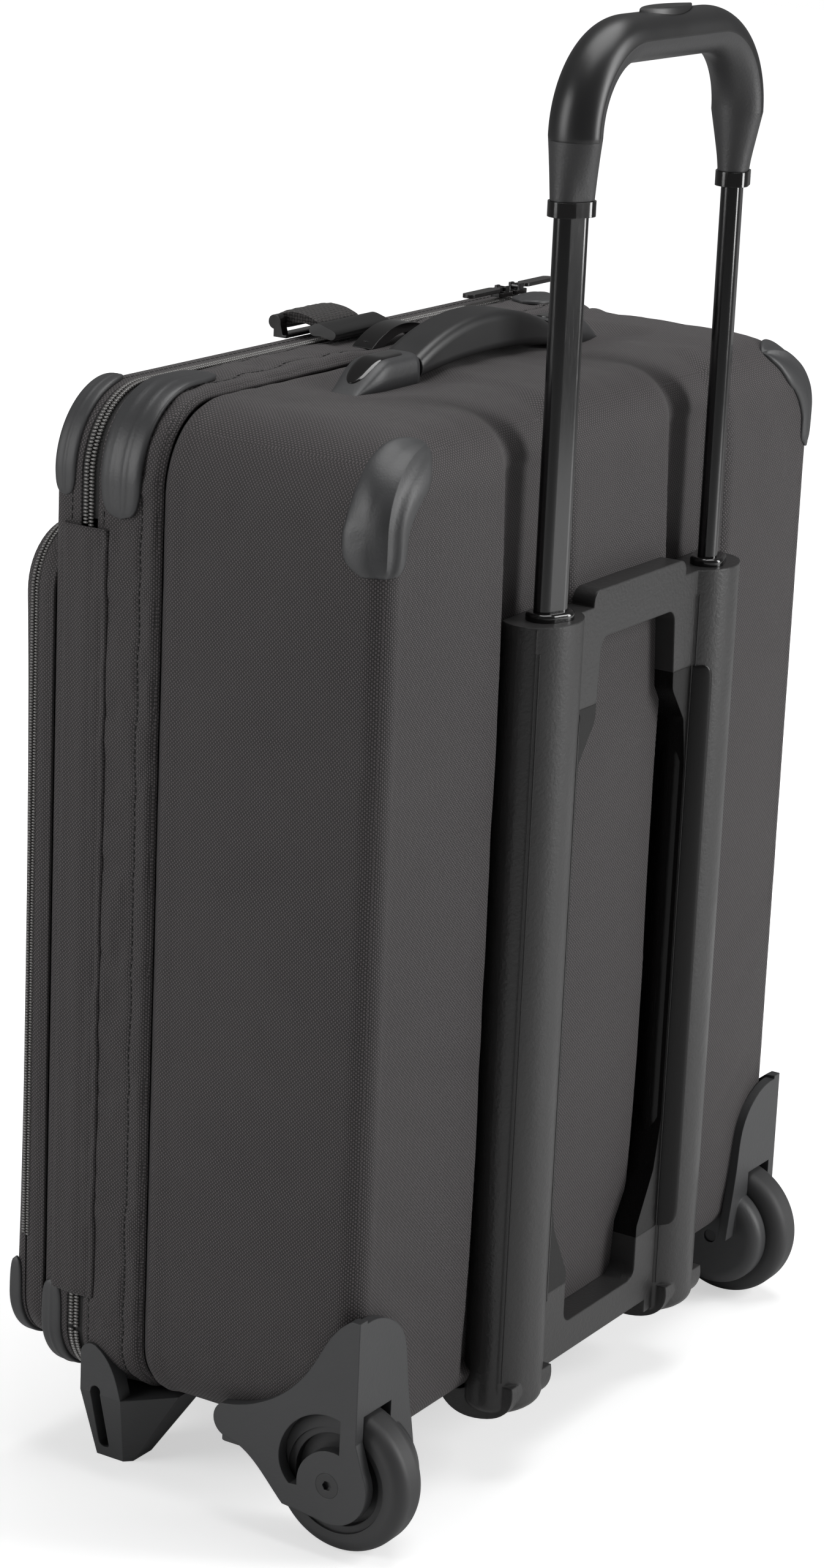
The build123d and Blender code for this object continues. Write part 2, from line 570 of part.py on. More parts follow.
# ---- screws --------------------------------------------------------------------------------------
def case_screws():
    """Pan-head screws that hold brackets, feet, housing, handle caps and strap anchor."""
    solids = []
    for x, y, z, direction in screw_places():
        length = SCREW_L
        if direction == (0, 0, 1):
            length = 9.0 if y > -20 else 5.5
        if direction == (0, 0, -1) and y > 0:
            length = 8.5
        if direction[0]:
            length = SIDE_SCREW_L
        back = tuple(-c for c in direction)
        head = rod((x, y, z), back, SCREW_HEAD_R, SCREW_HEAD_T)
        recess = rod((x - direction[0] * SCREW_HEAD_T, y - direction[1] * SCREW_HEAD_T,
                      z - direction[2] * SCREW_HEAD_T), direction, 1.3, 1.4)
        solids += (head + rod((x, y, z), direction, SCREW_R, length) - recess).solids()
    return Compound(solids)


# ---- trolley -------------------------------------------------------------------------------------
def trolley_tube():
    """Left trolley tube."""
    section = oblong(TUBE_L, TUBE_T) - oblong(TUBE_L - 2 * TUBE_WALL, TUBE_T - 2 * TUBE_WALL)
    return along_z(section, TUBE_Z0, TUBE_Z1)


def tube_plug():
    """Plug at the foot of the left tube that carries the latch pin."""
    collar = along_z(oblong(TUBE_L + 2 * GUIDE_SLACK - 2 * RUN, TUBE_T + 2 * GUIDE_SLACK - 2 * RUN),
                     TUBE_Z0 - 12, TUBE_Z0 - 0.1)
    neck = along_z(oblong(TUBE_L - 2 * TUBE_WALL - 0.2, TUBE_T - 2 * TUBE_WALL - 0.2),
                   TUBE_Z0 - 0.1, TUBE_Z0 + 20)
    bore = rod((TUBE_X, TUBE_Y, LATCH_Z - 3), (0, 0, 1), ROD_R + 1, 60)
    pin_hole = tilted(rod((-1, 0, LATCH_Z), (1, 0, 0), 2.0 + RUN, 20))
    return collar + neck - bore - pin_hole


def latch_pin():
    """Left latch pin."""
    pin = rod((3, 0, LATCH_Z), (1, 0, 0), 2.0, 8.5)
    return tilted(fillet(pin.faces().sort_by(Axis.X)[-1].edges(), 0.8))


def grip_path(lift=0.0, foot=GRIP_Z0):
    """Centre line of the grip from its left foot over the top to its right foot."""
    top = GRIP_TOP_Z - GRIP_A + lift
    shoulder = top - GRIP_R
    bend = GRIP_R * (1 - 0.5 ** 0.5)
    flat = TUBE_X - GRIP_R

    def at(x, z):
        return (x, TUBE_Y, z)

    edges = [
        ThreePointArc(at(TUBE_X, shoulder), at(TUBE_X - bend, top - bend), at(flat, top)),
        Line(at(flat, top), at(-flat, top)),
        ThreePointArc(at(-flat, top), at(bend - TUBE_X, top - bend), at(-TUBE_X, shoulder)),
    ]
    if foot < shoulder:
        edges = [Line(at(TUBE_X, foot), at(TUBE_X, shoulder)), *edges,
                 Line(at(-TUBE_X, shoulder), at(-TUBE_X, foot))]
    return Wire(edges)


def grip_arch(half_height, half_depth, foot):
    """Tube of elliptic section along the grip's centre line."""
    section = Plane(origin=(TUBE_X, TUBE_Y, foot), z_dir=(0, 0, 1)) * Ellipse(half_height, half_depth)
    return sweep(section, path=grip_path(foot=foot))


def leaf(length, width):
    """Leaf-shaped outline of the release button, drawn as (x, y) about the grip's middle."""
    ends = [(-length / 2, 0), (length / 2, 0)]
    edges = [ThreePointArc(ends[0], (0, width / 2), ends[1]),
             ThreePointArc(ends[1], (0, -width / 2), ends[0])]
    return Pos(0, TUBE_Y) * make_face(Wire(edges))


def grip_parts():
    """Outer shell of the grip and the liner that forms its underside and legs."""
    shoulder = GRIP_TOP_Z - GRIP_A - GRIP_R
    arch = grip_arch(GRIP_A, GRIP_B, shoulder)
    foot_face = Plane.XY.offset(GRIP_Z0) * oblong(SLEEVE_L, SLEEVE_T)
    top_face = Plane(origin=(TUBE_X, TUBE_Y, shoulder), z_dir=(0, 0, 1)) * Ellipse(GRIP_A, GRIP_B)
    leg = loft([foot_face, top_face])
    solid = arch + leg + mirrored(leg)
    solid = solid - grip_arch(8.0, 9.5, TUBE_Z1 + 0.2)
    socket = along_z(oblong(TUBE_L + 2 * RUN, TUBE_T + 2 * RUN), GRIP_Z0 - 5, TUBE_Z1 + 0.2)
    solid = solid - both_sides(socket)
    solid = solid - along_z(leaf(56.6, 15.6), GRIP_TOP_Z - 8, GRIP_TOP_Z + 10)
    top, flat = GRIP_TOP_Z - GRIP_A, TUBE_X - GRIP_R
    bend = GRIP_R * (1 - 0.5 ** 0.5)
    inside = make_face(Wire([
        Line((TUBE_X, 690), (TUBE_X, shoulder)),
        ThreePointArc((TUBE_X, shoulder), (TUBE_X - bend, top - bend), (flat, top)),
        Line((flat, top), (-flat, top)),
        ThreePointArc((-flat, top), (bend - TUBE_X, top - bend), (-TUBE_X, shoulder)),
        Line((-TUBE_X, shoulder), (-TUBE_X, 690)), Line((-TUBE_X, 690), (TUBE_X, 690)),
    ]))
    inner_zone = along_y(inside, TUBE_Y - 30, TUBE_Y + 30) + block(-130, 130, 80, 140, 690, shoulder - 2)
    return solid - inner_zone, solid & inner_zone


def grip_collar():
    """Left collar between grip and tube."""
    ring_face = oblong(SLEEVE_L + 2, SLEEVE_T + 2) - oblong(TUBE_L + 2 * RUN, TUBE_T + 2 * RUN)
    return along_z(ring_face, COLLAR_Z0, GRIP_Z0 - 0.1)


def release_button():
    """Leaf-shaped release button with its stem."""
    body = along_z(leaf(56, 15), GRIP_TOP_Z - 4.5, GRIP_TOP_Z + 2.0)
    body = fillet(body.faces().sort_by(Axis.Z)[-1].edges(), 1.0)
    rod_top = GRIP_TOP_Z - GRIP_A + ROD_LIFT + ROD_R
    return body + rod((0, TUBE_Y, rod_top + 0.2), (0, 0, 1), 3.0, GRIP_TOP_Z - 4 - rod_top)


def push_rod():
    """Hoop of rod inside the tubes and the grip that carries the button's push to the latches."""
    foot = LATCH_Z + 6.5
    section = Plane(origin=(TUBE_X, TUBE_Y, foot), z_dir=(0, 0, 1)) * Circle(ROD_R)
    return sweep(section, path=grip_path(lift=ROD_LIFT, foot=foot))


# ---- carry handle and strap ----------------------------------------------------------------------
def cap_profile(rise=0.0):
    """Side view of a carry-handle cap, drawn as (x, z)."""
    base, top = TOP_Z + GAP + rise, CAP_TOP_Z + rise
    slope = Spline((CAP_X1, base), (CAP_X1 - 4, base + 6), (CAP_X1 - 16, top - 2.5), (CAP_X1 - 30, top))
    return make_face(Wire([slope, Line((CAP_X1 - 30, top), (CAP_X0, top - 1)),
                           Line((CAP_X0, top - 1), (CAP_X0, base)), Line((CAP_X0, base), (CAP_X1, base))]))


def handle_cap_parts():
    """Left cap of the carry handle and its gloss inlay."""
    whole = along_y(cap_profile(), HANDLE_Y - CAP_HALF_Y, HANDLE_Y + CAP_HALF_Y)
    cap = whole - block(CAP_X0 - 1, 96, HANDLE_Y - 9, HANDLE_Y + 9, TOP_Z + 1, CAP_TOP_Z - 2)
    inlay = along_y(cap_profile(0.8), HANDLE_Y - 7, HANDLE_Y + 7) - whole
    inlay = inlay & block(CAP_X0 + 6, CAP_X1 - 4, -30, 30, TOP_Z + 3, CAP_TOP_Z + 5)
    return drilled(cap, 9.5), inlay


def carry_handle():
    """Arched carry handle with a tongue at each end that slides inside the caps."""
    end, low, high = CAP_X0 - 1, 599.0, 610.5
    profile = make_face(Wire([
        ThreePointArc((end, high), (0, 626), (-end, high)), Line((-end, high), (-end, low)),
        ThreePointArc((-end, low), (0, 604), (end, low)), Line((end, low), (end, high))]))
    body = along_y(profile, HANDLE_Y - 13, HANDLE_Y + 13)
    long_edges = body.edges().filter_by(lambda e: e.length > 100)
    body = fillet(long_edges, 5)
    tongue = block(end - 3, 94, HANDLE_Y - 8, HANDLE_Y + 8, 599.2, 601.7)
    return body + tongue + mirrored(tongue)


def strap_anchor():
    """Arched anchor on the front band that the add-a-bag strap hooks into."""
    base, centre = BAND_Z1 + GAP, -9.0
    outer = ThreePointArc((centre + 33, base), (centre, base + 10.5), (centre - 33, base))
    arch = make_face(Wire([outer, Line((centre - 33, base), (centre + 33, base))]))
    hollow = ThreePointArc((centre + 20, base), (centre, base + 5.5), (centre - 20, base))
    hollow = make_face(Wire([hollow, Line((centre - 20, base), (centre + 20, base))]))
    body = along_y(arch - hollow, -60, -47)
    for x, y, z, direction in screw_places():
        body = body - rod((x, y, z), direction, SCREW_R + RUN, 6)
    return body


def strap_loop():
    """Loop on the top front edge of the lid that carries the strap."""
    top = BAND_Z1 + GAP
    base = block(STRAP_X - 28, STRAP_X + 28, -107.5, -99, top, top + 1.6)
    web = polygon([(-107.5, top), (-101, top), (STRAP_BAR_Y + 3.5, STRAP_BAR_Z + 1),
                   (STRAP_BAR_Y - 0.5, STRAP_BAR_Z - 1)])
    post = along_x((Pos(STRAP_BAR_Y, STRAP_BAR_Z) * Circle(4)) + web, STRAP_X + 22.5, STRAP_X + 28)
    other = Pos(2 * STRAP_X, 0, 0) * mirror(post, about=Plane.YZ)
    bar = rod((STRAP_X - 25, STRAP_BAR_Y, STRAP_BAR_Z), (1, 0, 0), 2.5, 50)
    return base + post + other + bar


def strap_webbing():
    """Doubled webbing from the lid's loop to the hook."""
    eye = Pos(STRAP_BAR_Y, STRAP_BAR_Z) * Circle(4.9)
    tail = Pos((STRAP_BAR_Y - 84) / 2, STRAP_BAR_Z) * Rectangle(-84 - STRAP_BAR_Y, 5.0)
    hole = Pos(STRAP_BAR_Y, STRAP_BAR_Z) * Circle(2.5 + RUN)
    return along_x(eye + tail - hole, STRAP_X - 20, STRAP_X + 20)


def strap_hook():
    """Flat hook at the free end of the strap."""
    profile = smooth_shape([(-83.6, 608.5), (-80, 611.3), (-72, 610), (-66.5, 606.5), (-67.5, 604.4),
                            (-76, 604.8), (-83, 605.5)])
    return along_x(profile, STRAP_X - 28, STRAP_X + 28)


# ---- the whole case ------------------------------------------------------------------------------
def build():
    parts = body_panels()
    case_tape, case_teeth = zipper_row((ZIP_Y + 0.35, BAND_Y - 0.1), (ZIP_Y + 0.15, ZIP_Y + 0.15 + TEETH_W))
    lid_tape, lid_teeth = zipper_row((LID_BACK_Y + 0.1, ZIP_Y - 0.35),
                                     (ZIP_Y - 0.15 - TEETH_W, ZIP_Y - 0.15))
    housing, inlays = housing_parts()
    shell, liner = grip_parts()
    cap, cap_inlay = handle_cap_parts()
    zip_z, pocket_zip_z = BAND_Z1 + TEETH_H + 0.8, POCKET_Z1 + 1.2
    parts.update({
        "front_band": front_band(),
        "interior_lining": interior_lining(),
        "mouth_wire": mouth_wire(),
        "case_zipper_tape": case_tape,
        "case_zipper_teeth": case_teeth,
        "hinge_gusset": hinge_gusset(),
        "top_corner_guards": top_corner_guards(),
        "wheel_bracket_left": wheel_bracket(),
        "wheel_bracket_right": mirrored(wheel_bracket()),
        "axle_bolts": both_sides(axle_bolt()),
        "case_screws": case_screws(),
        "front_feet": both_sides(front_foot()),
        "trolley_housing": housing,
        "rail_inlays": inlays,
        "guide_tubes": both_sides(guide_tube()),
        "guide_bushings": both_sides(guide_bushing()),
        "backing_plates": backing_plates(),
        "handle_caps": both_sides(cap),
        "cap_inlays": both_sides(cap_inlay),
        "strap_anchor": strap_anchor(),
        "tie_down_straps": tie_down_straps(),
        "tie_down_buckle": tie_down_buckle(),
        "trolley_tubes": both_sides(trolley_tube()),
        "tube_plugs": both_sides(tube_plug()),
        "grip_shell": shell,
        "grip_liner": liner,
        "grip_collars": both_sides(grip_collar()),
        "release_button": release_button(),
        "push_rod": push_rod(),
        "latch_pin_left": latch_pin(),
        "latch_pin_right": mirrored(latch_pin()),
        "carry_handle": carry_handle(),
        "lid_panel": lid_panel(),
        "lid_band": lid_band(),
        "lid_zipper_teeth": Compound([*lid_tape.solids(), *lid_teeth.solids()]),
        "lid_corner_guards": lid_corner_guards(),
        "lid_lining": lid_lining(),
        "strap_loop": strap_loop(),
        "pocket_gusset": pocket_gusset(),
        "pocket_flap": pocket_flap(),
        "pocket_corner_guards": pocket_corner_guards(),
        "strap_webbing": strap_webbing(),
        "strap_hook": strap_hook(),
        "top_slider": slider(TOP_SLIDER_X, ZIP_Y, zip_z),
        "top_pull": slider_pull(TOP_SLIDER_X, ZIP_Y, zip_z, 1),
        "far_slider": slider(FAR_SLIDER_X, ZIP_Y, zip_z),
        "far_pull": slider_pull(FAR_SLIDER_X, ZIP_Y, zip_z, -1),
        "pocket_slider": slider(POCKET_SLIDER_X, POCKET_SPLIT_Y, pocket_zip_z),
        "pocket_pull": slider_pull(POCKET_SLIDER_X, POCKET_SPLIT_Y, pocket_zip_z, 1),
    })
    for name, make in (("tyre", tyre), ("hub", hub), ("bearings", bearings)):
        parts[name + "_left"] = make()
        parts[name + "_right"] = mirrored(make())
    return parts


def main():
    os.makedirs("parts", exist_ok=True)
    for name, shape in build().items():
        export_step(shape, f"parts/{name}.step")


main()
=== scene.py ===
"""Looks of the softside upright suitcase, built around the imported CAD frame. Metres, +Z up, back at +Y."""
import math

import bmesh
import bpy
import numpy as np
from mathutils import Matrix, Vector


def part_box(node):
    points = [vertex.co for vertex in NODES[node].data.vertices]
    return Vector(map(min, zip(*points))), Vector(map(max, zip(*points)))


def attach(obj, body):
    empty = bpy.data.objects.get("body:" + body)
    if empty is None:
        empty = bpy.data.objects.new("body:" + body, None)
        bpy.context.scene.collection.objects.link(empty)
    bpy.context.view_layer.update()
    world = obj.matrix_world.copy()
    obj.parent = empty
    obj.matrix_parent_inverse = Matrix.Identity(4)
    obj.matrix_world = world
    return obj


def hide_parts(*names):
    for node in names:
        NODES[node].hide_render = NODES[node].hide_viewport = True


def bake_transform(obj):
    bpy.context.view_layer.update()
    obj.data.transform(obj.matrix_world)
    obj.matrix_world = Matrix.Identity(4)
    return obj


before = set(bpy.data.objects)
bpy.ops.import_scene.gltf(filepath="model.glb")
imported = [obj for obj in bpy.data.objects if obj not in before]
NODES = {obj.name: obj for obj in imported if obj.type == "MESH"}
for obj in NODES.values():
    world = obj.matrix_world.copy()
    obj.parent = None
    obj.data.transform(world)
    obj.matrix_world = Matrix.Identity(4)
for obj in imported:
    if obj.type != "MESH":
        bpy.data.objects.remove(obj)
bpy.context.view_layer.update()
MM = 0.001


def node_box(name):
    """Lowest and highest corner of a CAD node as numpy arrays."""
    low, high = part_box(name)
    return np.array(low), np.array(high)


# ---- node materials ------------------------------------------------------------------------------
class Tree:
    """Short calls for building a node material."""

    def __init__(self, name):
        self.material = bpy.data.materials.new(name)
        self.material.use_nodes = True
        self.nodes = self.material.node_tree.nodes
        self.links = self.material.node_tree.links
        self.shader = self.nodes["Principled BSDF"]
        self.point = self.nodes.new("ShaderNodeTexCoord").outputs["Object"]

    def feed(self, socket, value):
        """Links an output to an input, or sets the input's own value."""
        if isinstance(value, bpy.types.NodeSocket):
            self.links.new(value, socket)
        elif isinstance(value, (tuple, list)) and len(value) == 3 and socket.type == "RGBA":
            socket.default_value = (*value, 1.0)
        else:
            socket.default_value = value

    def math(self, operation, a, b=0.0, c=0.0):
        node = self.nodes.new("ShaderNodeMath")
        node.operation = operation
        for socket, value in zip(node.inputs, (a, b, c)):
            self.feed(socket, value)
        return node.outputs[0]

    def split(self, vector):
        node = self.nodes.new("ShaderNodeSeparateXYZ")
        self.feed(node.inputs[0], vector)
        return node.outputs

    def join(self, x, y, z=0.0):
        node = self.nodes.new("ShaderNodeCombineXYZ")
        for socket, value in zip(node.inputs, (x, y, z)):
            self.feed(socket, value)
        return node.outputs[0]

    def mix(self, factor, a, b):
        node = self.nodes.new("ShaderNodeMix")
        node.data_type = "RGBA"
        self.feed(node.inputs[0], factor)
        self.feed(node.inputs[6], a)
        self.feed(node.inputs[7], b)
        return node.outputs[2]

    def choose(self, factor, a, b):
        """a where factor is 0, b where it is 1, for numbers."""
        node = self.nodes.new("ShaderNodeMix")
        self.feed(node.inputs[0], factor)
        self.feed(node.inputs[2], a)
        self.feed(node.inputs[3], b)
        return node.outputs[0]

    def noise(self, scale, detail=3.0, vector=None, roughness=0.5):
        node = self.nodes.new("ShaderNodeTexNoise")
        node.inputs["Scale"].default_value = scale
        node.inputs["Detail"].default_value = detail
        node.inputs["Roughness"].default_value = roughness
        self.feed(node.inputs["Vector"], vector or self.point)
        return node.outputs["Fac"]

    def ramp(self, value, low, high, to_low=0.0, to_high=1.0):
        node = self.nodes.new("ShaderNodeMapRange")
        node.interpolation_type = "SMOOTHSTEP"
        for socket, v in zip(node.inputs, (value, low, high, to_low, to_high)):
            self.feed(socket, v)
        return node.outputs[0]

    def bump(self, height, strength, distance, normal=None):
        node = self.nodes.new("ShaderNodeBump")
        node.inputs["Strength"].default_value = strength
        node.inputs["Distance"].default_value = distance
        self.feed(node.inputs["Height"], height)
        if normal is not None:
            self.feed(node.inputs["Normal"], normal)
        return node.outputs[0]

    def rounded(self, radius):
        """Normal with the edges softened by a small radius."""
        node = self.nodes.new("ShaderNodeBevel")
        node.samples = 3
        node.inputs[0].default_value = radius
        return node.outputs[0]

    def flat_coords(self):
        """Two coordinates that lie in the surface: chosen from x, y, z by the way the surface faces."""
        x, y, z = self.split(self.point)
        geometry = self.nodes.new("ShaderNodeNewGeometry")
        transform = self.nodes.new("ShaderNodeVectorTransform")
        transform.vector_type, transform.convert_from, transform.convert_to = "NORMAL", "WORLD", "OBJECT"
        self.feed(transform.inputs[0], geometry.outputs["True Normal"])
        nx, ny, nz = (self.math("ABSOLUTE", n) for n in self.split(transform.outputs[0]))
        side = self.math("GREATER_THAN", nx, self.math("MAXIMUM", ny, nz))
        flat = self.math("GREATER_THAN", nz, self.math("MAXIMUM", nx, ny))
        u = self.choose(side, x, y)
        v = self.choose(flat, z, y)
        return u, v

    def finish(self, **inputs):
        for name, value in inputs.items():
            self.feed(self.shader.inputs[name.replace("_", " ")], value)
        return self.material


def woven(name, pitch, warp_with_painted_sheen, weft, gap_painted_shade, roughness=0.62, depth=0.35, tint=0.12):
    """Plain weave of two thread directions, with worn-in colour variation and thread bumps. Painted light in
    its colour: shade painted into the gaps between the threads, highlight painted on the raised thread tops,
    and the warp painted lighter than the weft as sheen.
    """
    t = Tree(name)
    u, v = t.flat_coords()
    wobble = t.math("MULTIPLY", t.math("SUBTRACT", t.noise(90.0, 1.0), 0.5), 0.5)
    u = t.math("ADD", t.math("DIVIDE", u, pitch), wobble)
    v = t.math("ADD", t.math("DIVIDE", v, pitch), wobble)
    parity = t.math("MODULO", t.math("ABSOLUTE", t.math("ADD", t.math("FLOOR", u), t.math("FLOOR", v))), 2.0)
    a = t.math("MULTIPLY_ADD", t.math("FRACT", u), 2.0, -1.0)
    b = t.math("MULTIPLY_ADD", t.math("FRACT", v), 2.0, -1.0)
    across_u = t.math("SUBTRACT", 1.0, t.math("MULTIPLY", a, a))
    across_v = t.math("SUBTRACT", 1.0, t.math("MULTIPLY", b, b))
    over = t.math("MULTIPLY", across_u, t.math("MULTIPLY_ADD", across_v, 0.45, 0.55))
    under = t.math("MULTIPLY", across_v, t.math("MULTIPLY_ADD", across_u, 0.45, 0.55))
    height = t.choose(parity, over, under)
    broad = t.ramp(t.noise(9.0, 4.0), 0.3, 0.7)
    fine = t.noise(2600.0, 1.0)
    # Painted sheen: the warp colour is lighter than the weft, though both are the same yarn.
    thread = t.mix(parity, warp_with_painted_sheen, weft)
    # Painted highlight and shade: raised thread tops get the thread colour, and the low places between them
    # get the painted gap shade.
    lit = t.ramp(height, 0.12, 0.7)
    colour = t.mix(lit, gap_painted_shade, thread)
    worn = t.mix(t.math("MULTIPLY", broad, tint), colour, (0.060, 0.056, 0.054))
    dusty = t.mix(t.math("MULTIPLY", t.ramp(fine, 0.62, 0.75), 0.25), worn, (0.17, 0.163, 0.16))
    rough = t.math("MULTIPLY_ADD", t.math("SUBTRACT", 1.0, lit), 0.25, roughness)
    normal = t.bump(t.math("ADD", height, t.math("MULTIPLY", fine, 0.2)), depth, pitch * 0.35)
    return t.finish(Base_Color=dusty, Roughness=rough, Normal=normal, Sheen_Weight=0.08, Sheen_Roughness=0.4)


def moulded(name, colour, roughness=0.42, grain=900.0, depth=0.12, speckle=0.12, scuff=0.25, soften=0.0009):
    """Moulded plastic or rubber: fine grain, slight mottling of colour and gloss."""
    t = Tree(name)
    grain_height = t.noise(grain, 2.0)
    pits = t.noise(grain * 0.35, 3.0)
    broad = t.ramp(t.noise(14.0, 3.0), 0.3, 0.72)
    lighter = tuple(min(1.0, c * 1.5 + 0.012) for c in colour)
    body = t.mix(t.math("MULTIPLY", broad, speckle), colour, lighter)
    scuffs = t.ramp(t.noise(70.0, 6.0, roughness=0.7), 0.60, 0.78)
    body = t.mix(t.math("MULTIPLY", scuffs, scuff * 0.4), body, lighter)
    rough = t.math("MULTIPLY_ADD", broad, 0.10, roughness)
    rough = t.math("MULTIPLY_ADD", scuffs, scuff * 0.3, rough)
    height = t.math("ADD", grain_height, t.math("MULTIPLY", pits, 0.6))
    normal = t.bump(height, depth, 0.0004, t.rounded(soften) if soften else None)
    return t.finish(Base_Color=body, Roughness=rough, Normal=normal)


def glossy(name, colour, roughness=0.12, coat=0.6, specular=0.5):
    """Polished plastic or lacquered metal with faint orange peel and fine scratches."""
    t = Tree(name)
    peel = t.noise(260.0, 2.0)
    x, y, z = t.split(t.point)
    streak = t.noise(90.0, 5.0, vector=t.join(t.math("MULTIPLY", x, 30.0), t.math("MULTIPLY", y, 30.0), z))
    rough = t.math("MULTIPLY_ADD", t.ramp(streak, 0.5, 0.8), 0.14, roughness)
    body = t.mix(t.math("MULTIPLY", peel, 0.15), colour, tuple(c + 0.006 for c in colour))
    normal = t.bump(peel, 0.04, 0.0002, t.rounded(0.0006))
    return t.finish(Base_Color=body, Roughness=rough, Normal=normal, Coat_Weight=coat, Coat_Roughness=0.08,
                    Specular_IOR_Level=specular)


def metal(name, colour, roughness=0.32):
    """Plain metal with drawn lines."""
    t = Tree(name)
    x, y, z = t.split(t.point)
    lines = t.noise(400.0, 4.0, vector=t.join(x, y, t.math("MULTIPLY", z, 0.03)))
    rough = t.math("MULTIPLY_ADD", lines, 0.18, roughness - 0.09)
    tone = t.mix(lines, colour, tuple(c * 0.8 for c in colour))
    return t.finish(Base_Color=tone, Metallic=1.0, Roughness=rough, Normal=t.bump(lines, 0.06, 0.0002))


MATERIALS = {
    # In each woven look the first colour is the warp with painted sheen and the third is painted shade in the
    # gaps.
    "nylon": woven("nylon_weave", 0.00105, (0.0820, 0.0715, 0.0745), (0.0165, 0.0144, 0.0150),
                   (0.0025, 0.0022, 0.0022), depth=0.5),
    "webbing": woven("webbing_weave", 0.0018, (0.040, 0.036, 0.035), (0.022, 0.020, 0.020),
                     (0.004, 0.004, 0.004), roughness=0.7, depth=0.6, tint=0.05),
    "tape": woven("zipper_tape_weave", 0.0007, (0.014, 0.013, 0.013), (0.010, 0.010, 0.010),
                  (0.004, 0.004, 0.004), roughness=0.75, tint=0.02),
    "lining": woven("lining_weave", 0.0006, (0.13, 0.13, 0.135), (0.11, 0.11, 0.115), (0.06, 0.06, 0.065),
                    depth=0.15, tint=0.05),
    "guard": moulded("guard_plastic", (0.036, 0.0365, 0.038), roughness=0.40, speckle=0.2, grain=700.0,
                     depth=0.2),
    "housing": moulded("housing_plastic", (0.024, 0.0235, 0.0235), roughness=0.33, grain=520.0, depth=0.5,
                       soften=0.0015),
    "grip": moulded("grip_rubber", (0.015, 0.015, 0.0155), roughness=0.30, grain=1500.0, depth=0.05,
                    scuff=0.05, soften=0.0015),
    "liner": moulded("grip_liner_plastic", (0.036, 0.036, 0.037), roughness=0.42, grain=700.0, depth=0.35),
    "tyre": moulded("tyre_rubber", (0.030, 0.030, 0.031), roughness=0.50, grain=500.0, depth=0.1, scuff=0.35,
                    soften=0.0),
    "hub": moulded("hub_nylon", (0.026, 0.026, 0.027), roughness=0.4),
    "gloss": glossy("gloss_black", (0.004, 0.0036, 0.0036)),
    "inlay": glossy("inlay_black", (0.0020, 0.0018, 0.0018), roughness=0.22, coat=0.0, specular=0.22),
    "tube": glossy("tube_lacquer", (0.0035, 0.0035, 0.0038), roughness=0.15, coat=0.5),
    # The coil's colour is its own dark plastic lightened with painted glint, which stands in for the
    # highlights on its teeth.
    "coil": glossy("zipper_coil", (0.14, 0.135, 0.13), roughness=0.2, coat=1.0),
    "zinc": glossy("slider_black", (0.012, 0.011, 0.011), roughness=0.2, coat=0.3),
    "steel": metal("plated_steel", (0.55, 0.55, 0.56)),
    "aluminium": metal("drawn_aluminium", (0.72, 0.72, 0.73), roughness=0.38),
    "thread": moulded("stitch_thread", (0.012, 0.0115, 0.0115), roughness=0.6, grain=2500.0, depth=0.2,
                      soften=0.0),
    "bolt": glossy("bolt_black", (0.016, 0.016, 0.017), roughness=0.3, coat=0.2),
}

CAD_LOOKS = {
    "guard": ["wheel_bracket_left", "wheel_bracket_right", "front_feet"],
    "housing": ["trolley_housing"],
    "inlay": ["rail_inlays"],
    "gloss": ["guide_bushings", "strap_anchor", "strap_loop", "grip_collars", "tie_down_buckle"],
    "tube": ["trolley_tubes"],
    "steel": ["mouth_wire", "case_screws", "backing_plates", "latch_pin_left", "latch_pin_right",
              "bearings_left", "bearings_right"],
    "aluminium": ["guide_tubes", "push_rod"],
    "bolt": ["axle_bolts"],
    "hub": ["hub_left", "hub_right", "tube_plugs"],
    "tyre": ["tyre_left", "tyre_right"],
    "lining": ["interior_lining", "lid_lining"],
    "webbing": ["tie_down_straps"],
    "zinc": ["top_slider", "top_pull", "far_slider", "far_pull", "pocket_slider", "pocket_pull"],
    "grip": ["grip_shell", "carry_handle", "release_button"],
    "liner": ["grip_liner"],
}


def dress_cad_nodes():
    """Gives every carried-over CAD node its node material and smooth shading by angle."""
    for look, names in CAD_LOOKS.items():
        for name in names:
            mesh = NODES[name].data
            mesh.materials.clear()
            mesh.materials.append(MATERIALS[look])
            for polygon in mesh.polygons:
                polygon.use_smooth = True
            mesh.set_sharp_from_angle(angle=math.radians(32))


# ---- mesh helpers --------------------------------------------------------------------------------
def mesh_object(name, vertices, faces, look, smooth=True):
    """New object from vertices in metres."""
    mesh = bpy.data.meshes.new(name)
    mesh.from_pydata([tuple(map(float, v)) for v in vertices], [], faces)
    mesh.materials.append(MATERIALS[look])
    mesh.polygons.foreach_set("use_smooth", [smooth] * len(mesh.polygons))
    mesh.update()
    obj = bpy.data.objects.new(name, mesh)
    bpy.context.scene.collection.objects.link(obj)
    return obj


def apply_modifiers(obj):
    """Turns the evaluated mesh into the object's own mesh."""
    bpy.context.view_layer.update()
    evaluated = obj.evaluated_get(bpy.context.evaluated_depsgraph_get())
    mesh = bpy.data.meshes.new_from_object(evaluated)
    obj.modifiers.clear()
    obj.data = mesh
    return obj


def tidy_normals(obj):
    """Makes every face of a closed mesh look outwards."""
    bm = bmesh.new()
    bm.from_mesh(obj.data)
    bmesh.ops.recalc_face_normals(bm, faces=bm.faces)
    bm.to_mesh(obj.data)
    bm.free()


